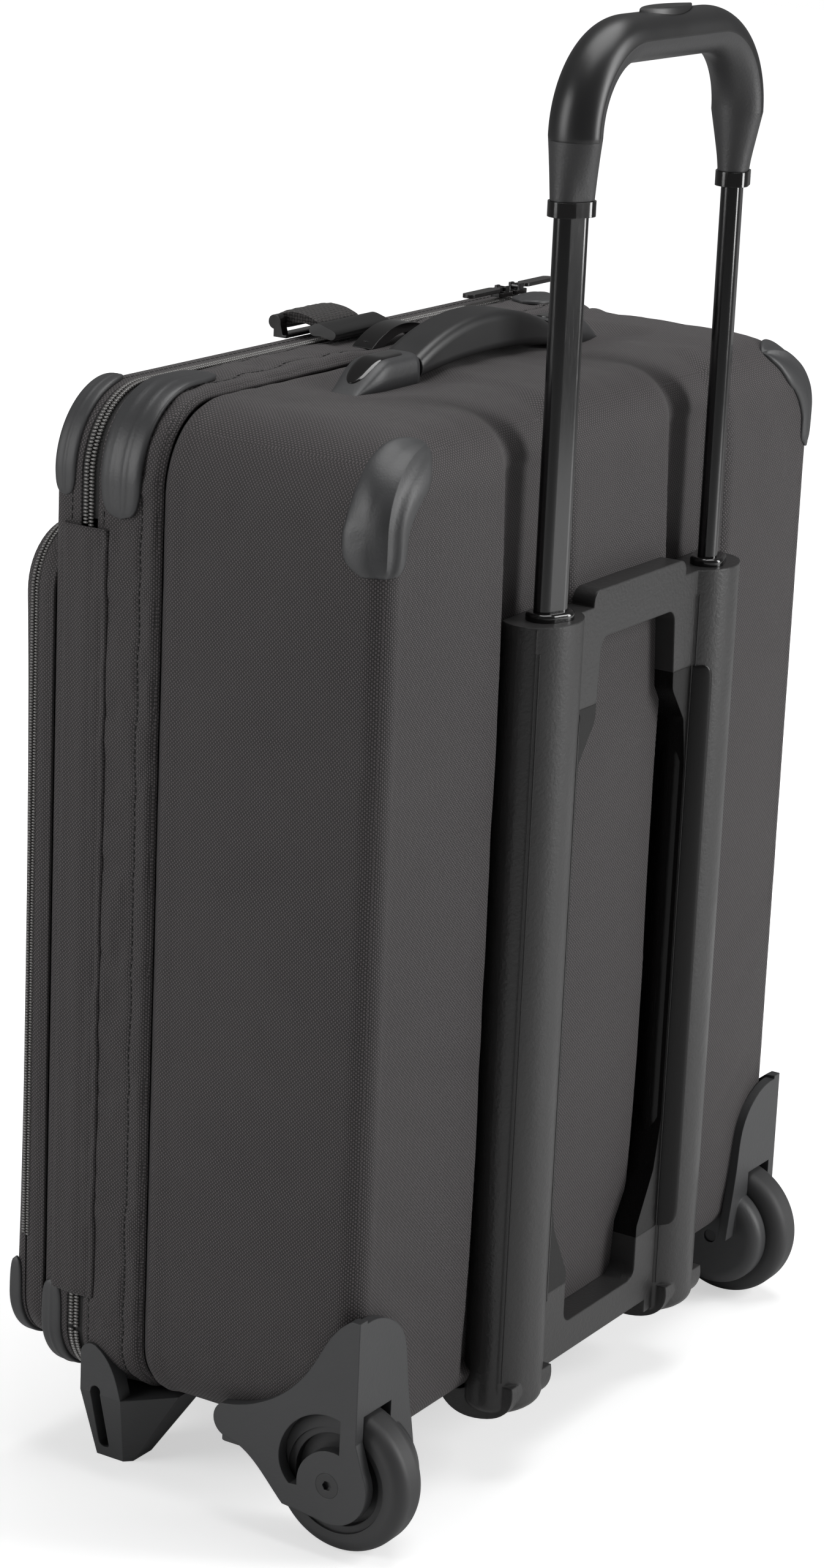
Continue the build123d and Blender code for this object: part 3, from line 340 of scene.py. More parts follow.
def grid_faces(rows, columns, wrap_columns=False):
    """Quads of a rows x columns grid of vertices."""
    faces = []
    for i in range(rows - 1):
        for j in range(columns if wrap_columns else columns - 1):
            j2 = (j + 1) % columns
            faces.append((i * columns + j, i * columns + j2, (i + 1) * columns + j2, (i + 1) * columns + j))
    return faces


def thicken(obj, thickness, offset=-1.0):
    """Gives a sheet its thickness and closes its rim."""
    modifier = obj.modifiers.new("thickness", "SOLIDIFY")
    modifier.thickness, modifier.offset = thickness, offset
    return apply_modifiers(obj)


def piece(obj, body, slot, *replaced):
    """Rides a finished piece on its body and hides the CAD nodes it replaces. Its slot argument is not used.
    """
    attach(obj, body)
    if replaced:
        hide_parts(*replaced)
    return obj


class Hoop:
    """Upright rounded rectangle in x and z. Position s runs from the left side's foot up, over the top to
    the right side, down and back along the bottom."""

    def __init__(self, half_w, z0, z1, r_top, r_bottom):
        self.half_w, self.z0, self.z1 = half_w, z0, z1
        self.rt, self.rb = r_top, r_bottom
        side = z1 - z0 - r_top - r_bottom
        quarter = math.pi / 2
        lengths = [side, quarter * r_top, 2 * (half_w - r_top), quarter * r_top,
                   side, quarter * r_bottom, 2 * (half_w - r_bottom), quarter * r_bottom]
        self.starts = np.concatenate([[0.0], np.cumsum(lengths)])
        self.total = self.starts[-1]

    def grown(self, d):
        """The hoop that runs d outside this one."""
        return Hoop(self.half_w + d, self.z0 - d, self.z1 + d, self.rt + d, self.rb + d)

    def at(self, s):
        """(x, z, outward x, outward z) at position s."""
        s = s % self.total
        k = min(int(np.searchsorted(self.starts, s, side="right")) - 1, 7)
        d = s - self.starts[k]
        w, z0, z1, rt, rb = self.half_w, self.z0, self.z1, self.rt, self.rb
        if k == 0:
            return w, z0 + rb + d, 1.0, 0.0
        if k == 1:
            a = d / rt
            return w - rt + rt * math.cos(a), z1 - rt + rt * math.sin(a), math.cos(a), math.sin(a)
        if k == 2:
            return w - rt - d, z1, 0.0, 1.0
        if k == 3:
            a = math.pi / 2 + d / rt
            return -w + rt + rt * math.cos(a), z1 - rt + rt * math.sin(a), math.cos(a), math.sin(a)
        if k == 4:
            return -w, z1 - rt - d, -1.0, 0.0
        if k == 5:
            a = math.pi + d / rb
            return -w + rb + rb * math.cos(a), z0 + rb + rb * math.sin(a), math.cos(a), math.sin(a)
        if k == 6:
            return -w + rb + d, z0, 0.0, -1.0
        a = 1.5 * math.pi + d / rb
        return w - rb + rb * math.cos(a), z0 + rb + rb * math.sin(a), math.cos(a), math.sin(a)

    def points(self, count):
        """Evenly spaced (x, z, nx, nz) rows all the way round."""
        return np.array([self.at(self.total * i / count) for i in range(count)])


# ---- driving places, read from the frame ------------------------------------------------------------
REAR_Y = node_box("rear_panel")[1][1]
BAND_Y, SEAM_Y = (corner[1] for corner in node_box("front_band"))
LID_FRONT_Y = node_box("lid_panel")[0][1]
LID_BACK_Y = node_box("lid_band")[1][1]
POCKET_FRONT_Y, POCKET_SPLIT_Y = (corner[1] for corner in node_box("pocket_flap"))
HINGE_Z0, HINGE_Z1 = node_box("hinge_gusset")[0][2] - MM, node_box("hinge_gusset")[1][2] + MM

ZIP_Y = -0.08315  # middle of the main zipper
TUBE_X = 0.0863  # middle of the left trolley tube
HANDLE_Y = 0.0015  # middle of the carry handle
STITCH_BACK_Y, STITCH_FRONT_Y = -0.0500, -0.0735  # the band's two rows of stitches
CHANNEL_DEPTH = 0.0072  # of the channels behind the trolley tubes
RING_POINTS = 420  # round the body and the bands
CENTRE_SHARE = 0.985  # how much of the way to its middle a panel's last ring is drawn in

BODY = Hoop(0.228, 0.051, 0.5965, 0.043, 0.034)
BAND = Hoop(0.229, 0.050, 0.6005, 0.044, 0.035)
LID = BAND.grown(-0.0003)
POCKET = Hoop(0.227, 0.062, 0.524, 0.034, 0.032)
MIDDLE_Z = (BODY.z0 + BODY.z1) / 2
BAND_MIDDLE_Y = (BAND_Y + SEAM_Y) / 2


def smooth(value, low, high):
    """0 below low, 1 above high, an even S-curve between."""
    t = np.clip((value - low) / (high - low), 0, 1)
    return t * t * (3 - 2 * t)


def bell(value, centre, width):
    """1 at the centre, falling off to both sides."""
    return math.exp(-((value - centre) / width) ** 2)


def channel(x):
    """1 in the middle of the channel behind a trolley tube, 0 away from it."""
    return 1 - smooth(abs(abs(x) - TUBE_X), 0.020, 0.038)


# ---- cloth ---------------------------------------------------------------------------------------
CLOTH_FRAMES = 20
SLACK = 0.02  # share by which the cloth is cut larger than its frame
WAVER = 0.0006  # height of the uneven start that breaks the sheet's symmetry


class Swell:
    """Padded sheet sewn down at its four edges and blown up by cloth simulation. Called with a place on
    the sheet it gives how far the fabric stands out there, from 0 to cap."""

    def __init__(self, width, height, cap, step=0.0075):
        nu, nv = max(8, round(width / step)), max(8, round(height / step))
        self.width, self.height = width, height
        u, v = np.meshgrid(np.linspace(-0.5, 0.5, nu + 1), np.linspace(-0.5, 0.5, nv + 1))
        lift = WAVER * np.sin(37 * u + 11 * v) * np.cos(29 * v - 7 * u)
        flat = np.stack([u * width, v * height, lift], -1).reshape(-1, 3)
        sheet = mesh_object("swell_sheet", flat, grid_faces(nv + 1, nu + 1), "nylon")
        pins = sheet.vertex_groups.new(name="sewn")
        rim = [i * (nu + 1) + j for i in range(nv + 1) for j in range(nu + 1) if i in (0, nv) or j in (0, nu)]
        pins.add(rim, 1.0, "REPLACE")
        cloth = sheet.modifiers.new("cloth", "CLOTH")
        settings = cloth.settings
        settings.quality, settings.mass = 5, 0.3
        settings.tension_stiffness = settings.compression_stiffness = 12
        settings.shear_stiffness, settings.bending_stiffness = 6, 1.5
        settings.use_pressure, settings.uniform_pressure_force = True, 4.0
        settings.vertex_group_mass, settings.shrink_min = "sewn", -SLACK
        settings.effector_weights.gravity = 0
        cloth.collision_settings.use_collision = False
        scene = bpy.context.scene
        for number in range(1, CLOTH_FRAMES + 1):
            scene.frame_set(number)
        points = np.empty(len(flat) * 3)
        evaluated = sheet.evaluated_get(bpy.context.evaluated_depsgraph_get())
        evaluated.data.vertices.foreach_get("co", points)
        scene.frame_set(1)
        bpy.data.objects.remove(sheet)
        rise = np.abs(points.reshape(nv + 1, nu + 1, 3)[:, :, 2])
        self.field = cap * np.clip(rise / max(np.percentile(rise, 97), 1e-6), 0, 1.1)

    def __call__(self, u, v):
        rows, columns = self.field.shape
        i = np.clip((v / self.height + 0.5) * (rows - 1), 0, rows - 1.001)
        j = np.clip((u / self.width + 0.5) * (columns - 1), 0, columns - 1.001)
        i0, j0 = int(i), int(j)
        a, b = i - i0, j - j0
        f = self.field
        return ((1 - a) * ((1 - b) * f[i0, j0] + b * f[i0, j0 + 1])
                + a * ((1 - b) * f[i0 + 1, j0] + b * f[i0 + 1, j0 + 1]))


# ---- padded body ---------------------------------------------------------------------------------
SIDE_SWELL = Swell(REAR_Y - SEAM_Y, 0.50, 0.0042)
TOP_SWELL = Swell(0.42, REAR_Y - SEAM_Y, 0.0030)
BACK_SWELL = Swell(0.44, 0.53, 0.0060)
BAND_SWELL = Swell(0.60, SEAM_Y - BAND_Y, 0.0022, step=0.005)
LID_SWELL = Swell(0.44, 0.53, 0.0030)
POCKET_SWELL = Swell(0.44, 0.45, 0.0070)


def held_down(x, y):
    """0 where a handle cap or the strap anchor holds the fabric down, 1 away from them."""
    cap = math.hypot(max(abs(abs(x) - 0.098) - 0.030, 0.0), max(abs(y - HANDLE_Y) - 0.014, 0.0))
    anchor = math.hypot(max(abs(x + 0.009) - 0.034, 0.0), max(abs(y + 0.0535) - 0.009, 0.0))
    return smooth(min(cap, anchor), 0.0, 0.030)


def body_point(row, kind, t):
    """Point of the body's fabric. row is (x, z, outward x, outward z) of the hoop; kind says which part of
    the way from the seam over the back edge to the middle of the back, and t how far along it."""
    x, z, nx, nz = row
    top = max(nz, 0.0)
    radius = 0.013 + 0.017 * top * top + 0.004 * max(-nz, 0.0)
    y_edge = REAR_Y - radius
    inset, y = 0.0, REAR_Y
    if kind == "side":
        y = SEAM_Y + (y_edge - SEAM_Y) * t
    elif kind == "edge":
        a = t * math.pi / 2
        y, inset = y_edge + radius * math.sin(a), radius * (1 - math.cos(a))
    else:
        inset = radius
    px, pz = x - nx * inset, z - nz * inset
    run = (y - SEAM_Y) / (REAR_Y - SEAM_Y)
    if kind == "cap":
        k = 1 - t * CENTRE_SHARE
        px, pz = px * k, MIDDLE_Z + (pz - MIDDLE_Z) * k
        y += BACK_SWELL(px, pz - MIDDLE_Z) * (1 - channel(px)) - 0.0005
        y -= CHANNEL_DEPTH * channel(px) * smooth(pz, BODY.z0 - 0.03, BODY.z0 + 0.01)
        return px, y, pz
    middle = (REAR_Y + SEAM_Y) / 2
    side_out = SIDE_SWELL(y - middle, z - MIDDLE_Z) * abs(nx) ** 3
    top_out = TOP_SWELL(x, y - middle) * top ** 3
    out = side_out + top_out - 0.0030 * bell(y, SEAM_Y, 0.0035) + 0.0012 * bell(y, SEAM_Y + 0.007, 0.004)
    lift = 0.0025 * top * (1 - run) ** 1.5
    if top > 0.9:
        out, lift = out * held_down(px, y), lift * (0.3 + 0.7 * held_down(px, y))
    px, pz = px + nx * out, pz + nz * out + lift
    if nz > 0.3:
        reach = smooth(y, REAR_Y - 0.060, REAR_Y - 0.001) ** 1.3
        share = t if kind == "edge" else 0.0
        y -= CHANNEL_DEPTH * channel(px) * reach * share
        pz -= CHANNEL_DEPTH * channel(px) * reach * (1 - share)
    return px, y, pz


def body_profile(position):
    """(kind, t) at a position: 0 at the seam, 1 and 2 at the back edge's start and end, 3 in the middle."""
    if position < 1:
        return "side", position
    return ("edge", position - 1) if position < 2 else ("cap", position - 2)


def cut_round(obj, x0, x1, y, z, radius):
    """Cuts a round hole along X through an object."""
    sides = 64
    turns = [math.tau * i / sides for i in range(sides)]
    rings = [(x, y + radius * math.cos(a), z + radius * math.sin(a)) for x in (x0, x1) for a in turns]
    faces = [(i, (i + 1) % sides, sides + (i + 1) % sides, sides + i) for i in range(sides)]
    faces += [tuple(reversed(range(sides))), tuple(range(sides, 2 * sides))]
    cutter = mesh_object("cutter", rings, faces, "nylon")
    tidy_normals(cutter)
    modifier = obj.modifiers.new("cut", "BOOLEAN")
    modifier.object, modifier.operation = cutter, "DIFFERENCE"
    apply_modifiers(obj)
    bpy.data.objects.remove(cutter)


def close_middle(vertices, faces, count):
    """Closes the last ring of a tray with a fan to its middle."""
    last = len(vertices) - count
    vertices.append(tuple(np.mean(np.array(vertices[last:]), axis=0)))
    faces += [(last + i, len(vertices) - 1, last + (i + 1) % count) for i in range(count)]


def body_fabric():
    """Body from the seam to the back, with its wheel wells cut out."""
    ring = BODY.points(RING_POINTS)
    stops = ([i / 28 for i in range(28)] + [1 + i / 10 for i in range(10)] + [2 + i / 60 for i in range(61)])
    vertices = [body_point(row, *body_profile(min(p, 2.9999))) for p in stops for row in ring]
    faces = [f[::-1] for f in grid_faces(len(stops), len(ring), wrap_columns=True)]
    close_middle(vertices, faces, len(ring))
    obj = mesh_object("body_fabric", vertices, faces, "nylon")
    tidy_normals(obj)
    if sum(p.normal.y * p.area for p in obj.data.polygons) < 0:
        obj.data.flip_normals()
    thicken(obj, 0.0035)
    well_inner, well_outer, wheel_y, wheel_z, well_radius = 0.187, 0.260, 0.088, 0.042, 0.0465
    for sign in (1, -1):
        cut_round(obj, *sorted((sign * well_inner, sign * well_outer)), wheel_y, wheel_z, well_radius)
    obj.data.materials.clear()
    obj.data.materials.append(MATERIALS["nylon"])
    piece(obj, "case", "body_fabric", "side_panel_left", "side_panel_right", "top_panel", "bottom_panel",
          "rear_panel")


def hoop_sheet(name, hoop, ys, out, look, thickness, keep=None):
    """Sheet along a hoop with y rows from front to back; out(row, y) is its distance outside the hoop."""
    ring = hoop.points(RING_POINTS)
    vertices = []
    for y in ys:
        for row in ring:
            d = out(row, y)
            vertices.append((row[0] + row[2] * d, y, row[1] + row[3] * d))
    faces = [f[::-1] for f in grid_faces(len(ys), RING_POINTS, wrap_columns=True)]
    if keep:
        faces = [f for f in faces if all(keep(vertices[i]) for i in f)]
        used = sorted({i for f in faces for i in f})
        index = {old: new for new, old in enumerate(used)}
        vertices, faces = [vertices[i] for i in used], [tuple(index[i] for i in f) for f in faces]
    return thicken(mesh_object(name, vertices, faces, look), thickness)


def steps(low, high, count):
    """count evenly spaced values from low to high."""
    return [low + (high - low) * i / (count - 1) for i in range(count)]


def band_padding(row, y):
    """How far the band's fabric stands outside its hoop, before its seams draw it in."""
    along = row[1] - MIDDLE_Z if abs(row[2]) > 0.7 else row[0]
    low = held_down(row[0], y) if row[3] > 0.9 else 1.0
    lift = low * 0.002 * max(row[3], 0) * (1 - abs(row[0]) / BAND.half_w) ** 0.5
    return low * BAND_SWELL(along, y - BAND_MIDDLE_Y) + lift


def front_band():
    """Padded band between the body seam and the zipper."""
    def out(row, y):
        rows = 0.0009 * (bell(y, STITCH_BACK_Y, 0.0012) + bell(y, STITCH_FRONT_Y, 0.0012))
        return (band_padding(row, y) - rows - 0.0030 * bell(y, SEAM_Y, 0.0028)
                - 0.0010 * bell(y, BAND_Y, 0.0025))

    obj = hoop_sheet("front_band_fabric", BAND, steps(BAND_Y, SEAM_Y, 32), out, "nylon", 0.0025)
    piece(obj, "case", "body_fabric", "front_band")


def shell_with_front(name, hoop, back_y, front_y, radius, swell, hollow, thickness, side_rows=10):
    """Shallow nylon tray: side band, rounded front edge, crowned front panel. hollow is how far the front
    edge is drawn in half-way up the side."""
    ring = hoop.points(400)
    middle = (hoop.z0 + hoop.z1) / 2
    kinds = ([("side", i / side_rows) for i in range(side_rows)] + [("edge", i / 10) for i in range(10)]
             + [("cap", i / 54) for i in range(55)])
    vertices = []
    for kind, t in kinds:
        for x, z, nx, nz in ring:
            inset, y = 0.0, front_y
            if kind == "side":
                y = back_y + (front_y + radius - back_y) * t
            elif kind == "edge":
                a = t * math.pi / 2
                y, inset = front_y + radius * (1 - math.sin(a)), radius * (1 - math.cos(a))
            else:
                inset = radius
            px, pz = x - nx * inset, z - nz * inset
            depth = (y - back_y) / (front_y - back_y)
            height = (z - middle) / (0.42 * (hoop.z1 - hoop.z0))
            drawn = hollow * depth ** 2 * abs(nx) * max(0.0, 1 - height ** 2)
            px -= math.copysign(drawn, nx)
            if kind == "cap":
                k = 1 - t * CENTRE_SHARE
                px, pz = px * k, middle + (pz - middle) * k
                y -= swell(px, pz - middle)
            vertices.append((px, y, pz))
    faces = grid_faces(len(kinds), len(ring), wrap_columns=True)
    close_middle(vertices, faces, len(ring))
    obj = mesh_object(name, vertices, faces, "nylon")
    tidy_normals(obj)
    if sum(p.normal.y * p.area for p in obj.data.polygons) > 0:
        obj.data.flip_normals()
    return thicken(obj, thickness)


def lid_and_pocket():
    """Lid and front pocket in fabric."""
    lid = shell_with_front("lid_fabric", LID, LID_BACK_Y, LID_FRONT_Y, 0.010, LID_SWELL, 0.0, 0.0025)
    piece(lid, "lid", "body_fabric", "lid_panel", "lid_band")
    gusset = hoop_sheet("pocket_gusset_fabric", POCKET,
                        steps(POCKET_SPLIT_Y + 0.0008, LID_FRONT_Y + 0.002, 10),
                        lambda row, y: 0.001 * bell(y, -0.112, 0.004), "nylon", 0.002)
    piece(gusset, "lid", "body_fabric", "pocket_gusset")
    flap = shell_with_front("pocket_flap_fabric", POCKET, POCKET_SPLIT_Y - 0.0004, POCKET_FRONT_Y + 0.003,
                            0.007, POCKET_SWELL, 0.006, 0.002, side_rows=6)
    piece(flap, "pocket", "body_fabric", "pocket_flap")


# ---- zippers -------------------------------------------------------------------------------------
def on_hinge(x, z, margin=0.0):
    """Whether a place on the band lies under the strip of fabric that hinges the lid."""
    return x > 0.15 and HINGE_Z0 - margin < z < HINGE_Z1 + margin


def lozenge(vertices, faces, centre, a, b, c):
    """Adds a small rounded tooth with half axes a, b, c (vectors)."""
    start = len(vertices)
    centre, a, b, c = (np.asarray(v, float) for v in (centre, a, b, c))
    for level, size in ((-1.0, 0.55), (-0.55, 1.0), (0.55, 1.0), (1.0, 0.55)):
        for turn in range(6):
            angle = turn * math.pi / 3
            vertices.append(centre + a * level + (b * math.cos(angle) + c * math.sin(angle)) * size)
    for k in range(3):
        for turn in range(6):
            p, q = start + k * 6 + turn, start + k * 6 + (turn + 1) % 6
            faces.append((p, q, q + 6, p + 6))
    faces.append(tuple(start + i for i in reversed(range(6))))
    faces.append(tuple(start + 18 + i for i in range(6)))


def teeth(name, hoop, y, half_length, pitch, phase, out, body, replaced, skip):
    """Row of coil teeth along a hoop, one piece."""
    count = int(hoop.total / pitch)
    vertices, faces = [], []
    for i in range(count):
        x, z, nx, nz = hoop.at(pitch * (i + phase))
        if skip(x, z):
            continue
        lozenge(vertices, faces, (x + nx * out, y, z + nz * out), (0, half_length, 0),
                (-nz * pitch * 0.40, 0, nx * pitch * 0.40), (nx * 0.0009, 0, nz * 0.0009))
    obj = mesh_object(name, vertices, faces, "coil")
    piece(obj, body, "zipper_coil", *replaced)


def zippers():
    """Tapes and coils of the main zipper and of the pocket's."""
    def clear(v):
        return not on_hinge(v[0], v[2], 0.002)

    def sunk(row, y):
        return -0.0008

    def below_pocket_zip(x, z):
        return z < 0.129

    for body, y0, y1, replaced in (("case", ZIP_Y + 0.0003, BAND_Y + 0.004, ["case_zipper_tape"]),
                                   ("lid", LID_BACK_Y - 0.004, ZIP_Y - 0.0003, [])):
        tape = hoop_sheet(f"{body}_tape", BAND, steps(y0, y1, 5), sunk, "tape", 0.0008, clear)
        piece(tape, body, "zipper_tape", *replaced)
    for body, y, phase in (("case", ZIP_Y + 0.0017, 0.0), ("lid", ZIP_Y - 0.0017, 0.5)):
        teeth(f"{body}_teeth", BAND, y, 0.0015, 0.0019, phase, 0.0003, body, [f"{body}_zipper_teeth"],
              on_hinge)
    for name, y, phase, body in (("pocket_back_teeth", POCKET_SPLIT_Y + 0.0014, 0.0, "lid"),
                                 ("pocket_front_teeth", POCKET_SPLIT_Y - 0.0012, 0.5, "pocket")):
        teeth(name, POCKET, y, 0.0011, 0.0016, phase, 0.0004, body, [], below_pocket_zip)


def beside_hinge(y, z):
    """How far the band's padding stands out beside the hinge strip."""
    if y < BAND_Y:
        return 0.0
    return BAND_SWELL(z - MIDDLE_Z, y - BAND_MIDDLE_Y)


def hinge_fabric():
    """Strip of fabric on the left side that hinges the lid to the band."""
    front_y, back_y, hinge_x = -0.0985, -0.0700, 0.2314
    ys = steps(front_y, back_y, 26)
    zs = steps(HINGE_Z0 - 0.002, HINGE_Z1, 110)
    vertices = []
    for z in zs:
        for y in ys:
            bulge = 0.0012 * bell(y, ZIP_Y, 0.006) + 0.0009
            bulge -= 0.0007 * bell(y, STITCH_FRONT_Y, 0.0012)
            wave = 0.0003 * math.sin(z * 95) * bell(y, ZIP_Y, 0.008)
            hem = 0.0008 * (bell(z, HINGE_Z1 - 0.002, 0.003) + bell(z, HINGE_Z0, 0.003))
            edge = smooth(y, front_y, -0.0960) * (1 - smooth(y, -0.0722, back_y))
            vertices.append((BAND.half_w + (bulge + wave + hem) * edge + 0.0002 + beside_hinge(y, z), y, z))
    obj = mesh_object("hinge_fabric", vertices, grid_faces(len(zs), len(ys)), "nylon")
    thicken(obj, 0.0012, offset=0.0)
    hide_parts("hinge_gusset")
    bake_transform(obj)


# ---- stitches ------------------------------------------------------------------------------------
def stitches():
    """Rows of thread: on the band beside its seams and round the lid's front edge."""
    pitch = 0.0042

    def row_of(name, hoop, y, out, body, skip=None):
        vertices, faces = [], []
        for i in range(int(hoop.total / pitch)):
            row = hoop.at(pitch * i)
            x, z, nx, nz = row
            if skip and skip(x, z):
                continue
            d = out(row, y)
            lozenge(vertices, faces, (x + nx * d, y, z + nz * d), (-nz * 0.0015, 0, nx * 0.0015),
                    (0, 0.0004, 0), (nx * 0.0003, 0, nz * 0.0003))
        piece(mesh_object(name, vertices, faces, "thread"), body, "body_fabric")

    def band_out(row, y):
        return band_padding(row, y) - 0.0006

    row_of("band_stitches_back", BAND, STITCH_BACK_Y, band_out, "case")
    row_of("band_stitches_front", BAND, STITCH_FRONT_Y, band_out, "case", on_hinge)
    row_of("lid_stitches", LID, LID_BACK_Y - 0.006, lambda row, y: 0.0001, "lid", on_hinge)


# ---- corner guards -------------------------------------------------------------------------------
def guard(name, place, us, vs, thickness, ridges, body, replaced=(), look="guard", slot="guard_plastic"):
    """Moulded guard laid on a surface. place(u, v) is the fabric's point; v runs across from -1 to 1 and
    ridges are the v values of its raised lines."""
    points = np.array([[place(u, v) for v in vs] for u in us])
    du = np.gradient(points, axis=0)
    dv = np.gradient(points, axis=1)
    normals = np.cross(du, dv)
    normals /= np.linalg.norm(normals, axis=2, keepdims=True) + 1e-12
    case_centre = np.array([0, 0, 0.33])
    if ((points - case_centre) * normals).sum() < 0:
        normals = -normals
    rows, columns = len(us), len(vs)
    lift = np.zeros((rows, columns))
    for i in range(rows):
        for j in range(columns):
            u, v = 2 * i / (rows - 1) - 1, vs[j]
            rim = (1 - abs(v) ** 6) * (1 - abs(u) ** 10)
            lift[i, j] = thickness * (0.25 + 0.75 * rim ** 0.5)
            lift[i, j] += sum(height * bell(v, r, 0.11) for r, height in ridges) * rim
    outer = points + normals * lift[:, :, None]
    inner = points - normals * 0.0006
    flat = np.concatenate([outer.reshape(-1, 3), inner.reshape(-1, 3)])
    top = grid_faces(rows, columns)
    size = rows * columns
    bottom = [tuple(i + size for i in reversed(f)) for f in top]
    rim_loop = ([j for j in range(columns)] + [i * columns + columns - 1 for i in range(1, rows)]
                + [(rows - 1) * columns + j for j in range(columns - 2, -1, -1)]
                + [i * columns for i in range(rows - 2, 0, -1)])
    walls = [(a, b, b + size, a + size) for a, b in zip(rim_loop, rim_loop[1:] + rim_loop[:1])]
    obj = mesh_object(name, flat, top + bottom + walls, look)
    tidy_normals(obj)
    obj.data.set_sharp_from_angle(angle=math.radians(40))
    piece(obj, body, slot, *replaced)


def tongue(hoop, s0, s1, y_middle, half):
    """Place function of a tongue with rounded ends on a hoop between positions s0 and s1."""
    def place(u, v):
        s = s0 + (s1 - s0) * u
        width = half * max(1 - abs(2 * u - 1) ** (2.6 * 3), 0.0) ** 0.4
        x, z, nx, nz = hoop.at(s)
        y = y_middle + v * max(width, 0.0004)
        lift = 0.002 * max(nz, 0) * (1 - min(abs(x) / hoop.half_w, 1.0)) ** 0.5
        return x + nx * lift, y, z + nz * lift
    return place


def find_s(hoop, x=None, z=None, low=0.0, high=None):
    """Position on a hoop nearest to a wanted x or z within a stretch."""
    best = min(np.linspace(low, high if high is not None else hoop.total, 4000),
               key=lambda s: abs(hoop.at(s)[0] - x) if x is not None else abs(hoop.at(s)[1] - z))
    return float(best)


def mirror_place(place):
    """The same place function on the right side."""
    return lambda u, v: (-place(u, v)[0], place(u, v)[1], place(u, v)[2])


def guards():
    """Corner guards of the band, the back, the lid and the pocket."""
    us, vs = list(np.linspace(0, 1, 56)), list(np.sin(np.linspace(-1, 1, 25) * math.pi / 2))
    band_line = BAND.grown(0.0016)
    front = tongue(band_line, find_s(band_line, z=0.538, high=band_line.starts[1]),
                   find_s(band_line, x=0.158, low=band_line.starts[2], high=band_line.starts[3]),
                   -0.062, 0.0125)
    lid_y, lid_half = -0.0985, 0.0065
    lid_top = tongue(LID, find_s(LID, z=0.545, high=LID.starts[1]),
                     find_s(LID, x=0.185, low=LID.starts[1], high=LID.starts[3]), lid_y, lid_half)
    lid_low = tongue(LID, find_s(LID, x=0.188, low=LID.starts[6], high=LID.total) - LID.total,
                     find_s(LID, z=0.108, high=LID.starts[1]), lid_y, lid_half)
    pocket_start = find_s(POCKET, x=0.165, low=POCKET.starts[6], high=POCKET.total) - POCKET.total
    pocket_low = tongue(POCKET, pocket_start, find_s(POCKET, z=0.114, high=POCKET.starts[1]), -0.1245, 0.0040)
    rear_s = (find_s(BODY, z=0.531, high=BODY.starts[1]),
              find_s(BODY, x=0.179, low=BODY.starts[1], high=BODY.starts[3]))
    side_run, back_run_side, back_run_top = 0.124, 0.2125, 0.25  # metres per step of the body's profile

    def rear(u, v):
        row = BODY.at(rear_s[0] + (rear_s[1] - rear_s[0]) * u)
        top = max(row[3], 0.0)
        arc = (0.013 + 0.017 * top * top) * math.pi / 2
        foot = max(1 - max(1 - 2 * u, 0.0) ** 9, 0.0) ** 0.5
        blunt = foot * max(1 - max(2 * u - 1, 0.0) ** 2.6, 0.0) ** 0.7
        sides = 0.0235 * (1 - 0.30 * top), 0.0135 + 0.006 * top
        reach = v * blunt * (sides[0] if v < 0 else sides[1]) - 0.004 * top * (1 - blunt)
        if reach < -arc / 2:
            position = 1 + (reach + arc / 2) / side_run
        elif reach < arc / 2:
            position = 1.5 + reach / arc
        else:
            position = 2 + (reach - arc / 2) / (back_run_side if row[2] > 0.7 else back_run_top)
        return body_point(row, *body_profile(position))

    kinds = (("band_guard", front, 0.0022, ((-0.42, 0.0004), (0.25, 0.0006)), "case", ["top_corner_guards"]),
             ("rear_guard", rear, 0.0022, ((-0.05, 0.0020), (0.30, -0.0008)), "case", []),
             ("lid_guard_top", lid_top, 0.0018, ((0.0, 0.0004),), "lid", ["lid_corner_guards"]),
             ("lid_guard_low", lid_low, 0.0018, ((0.0, 0.0004),), "lid", []),
             ("pocket_guard", pocket_low, 0.0018, (), "pocket", ["pocket_corner_guards"]))
    for name, place, thickness, ridges, body, replaced in kinds:
        guard(f"{name}_left", place, us, vs, thickness, ridges, body, replaced)
    for name, place, thickness, ridges, body, _ in kinds:
        guard(f"{name}_right", mirror_place(place), us, vs, thickness, ridges, body)


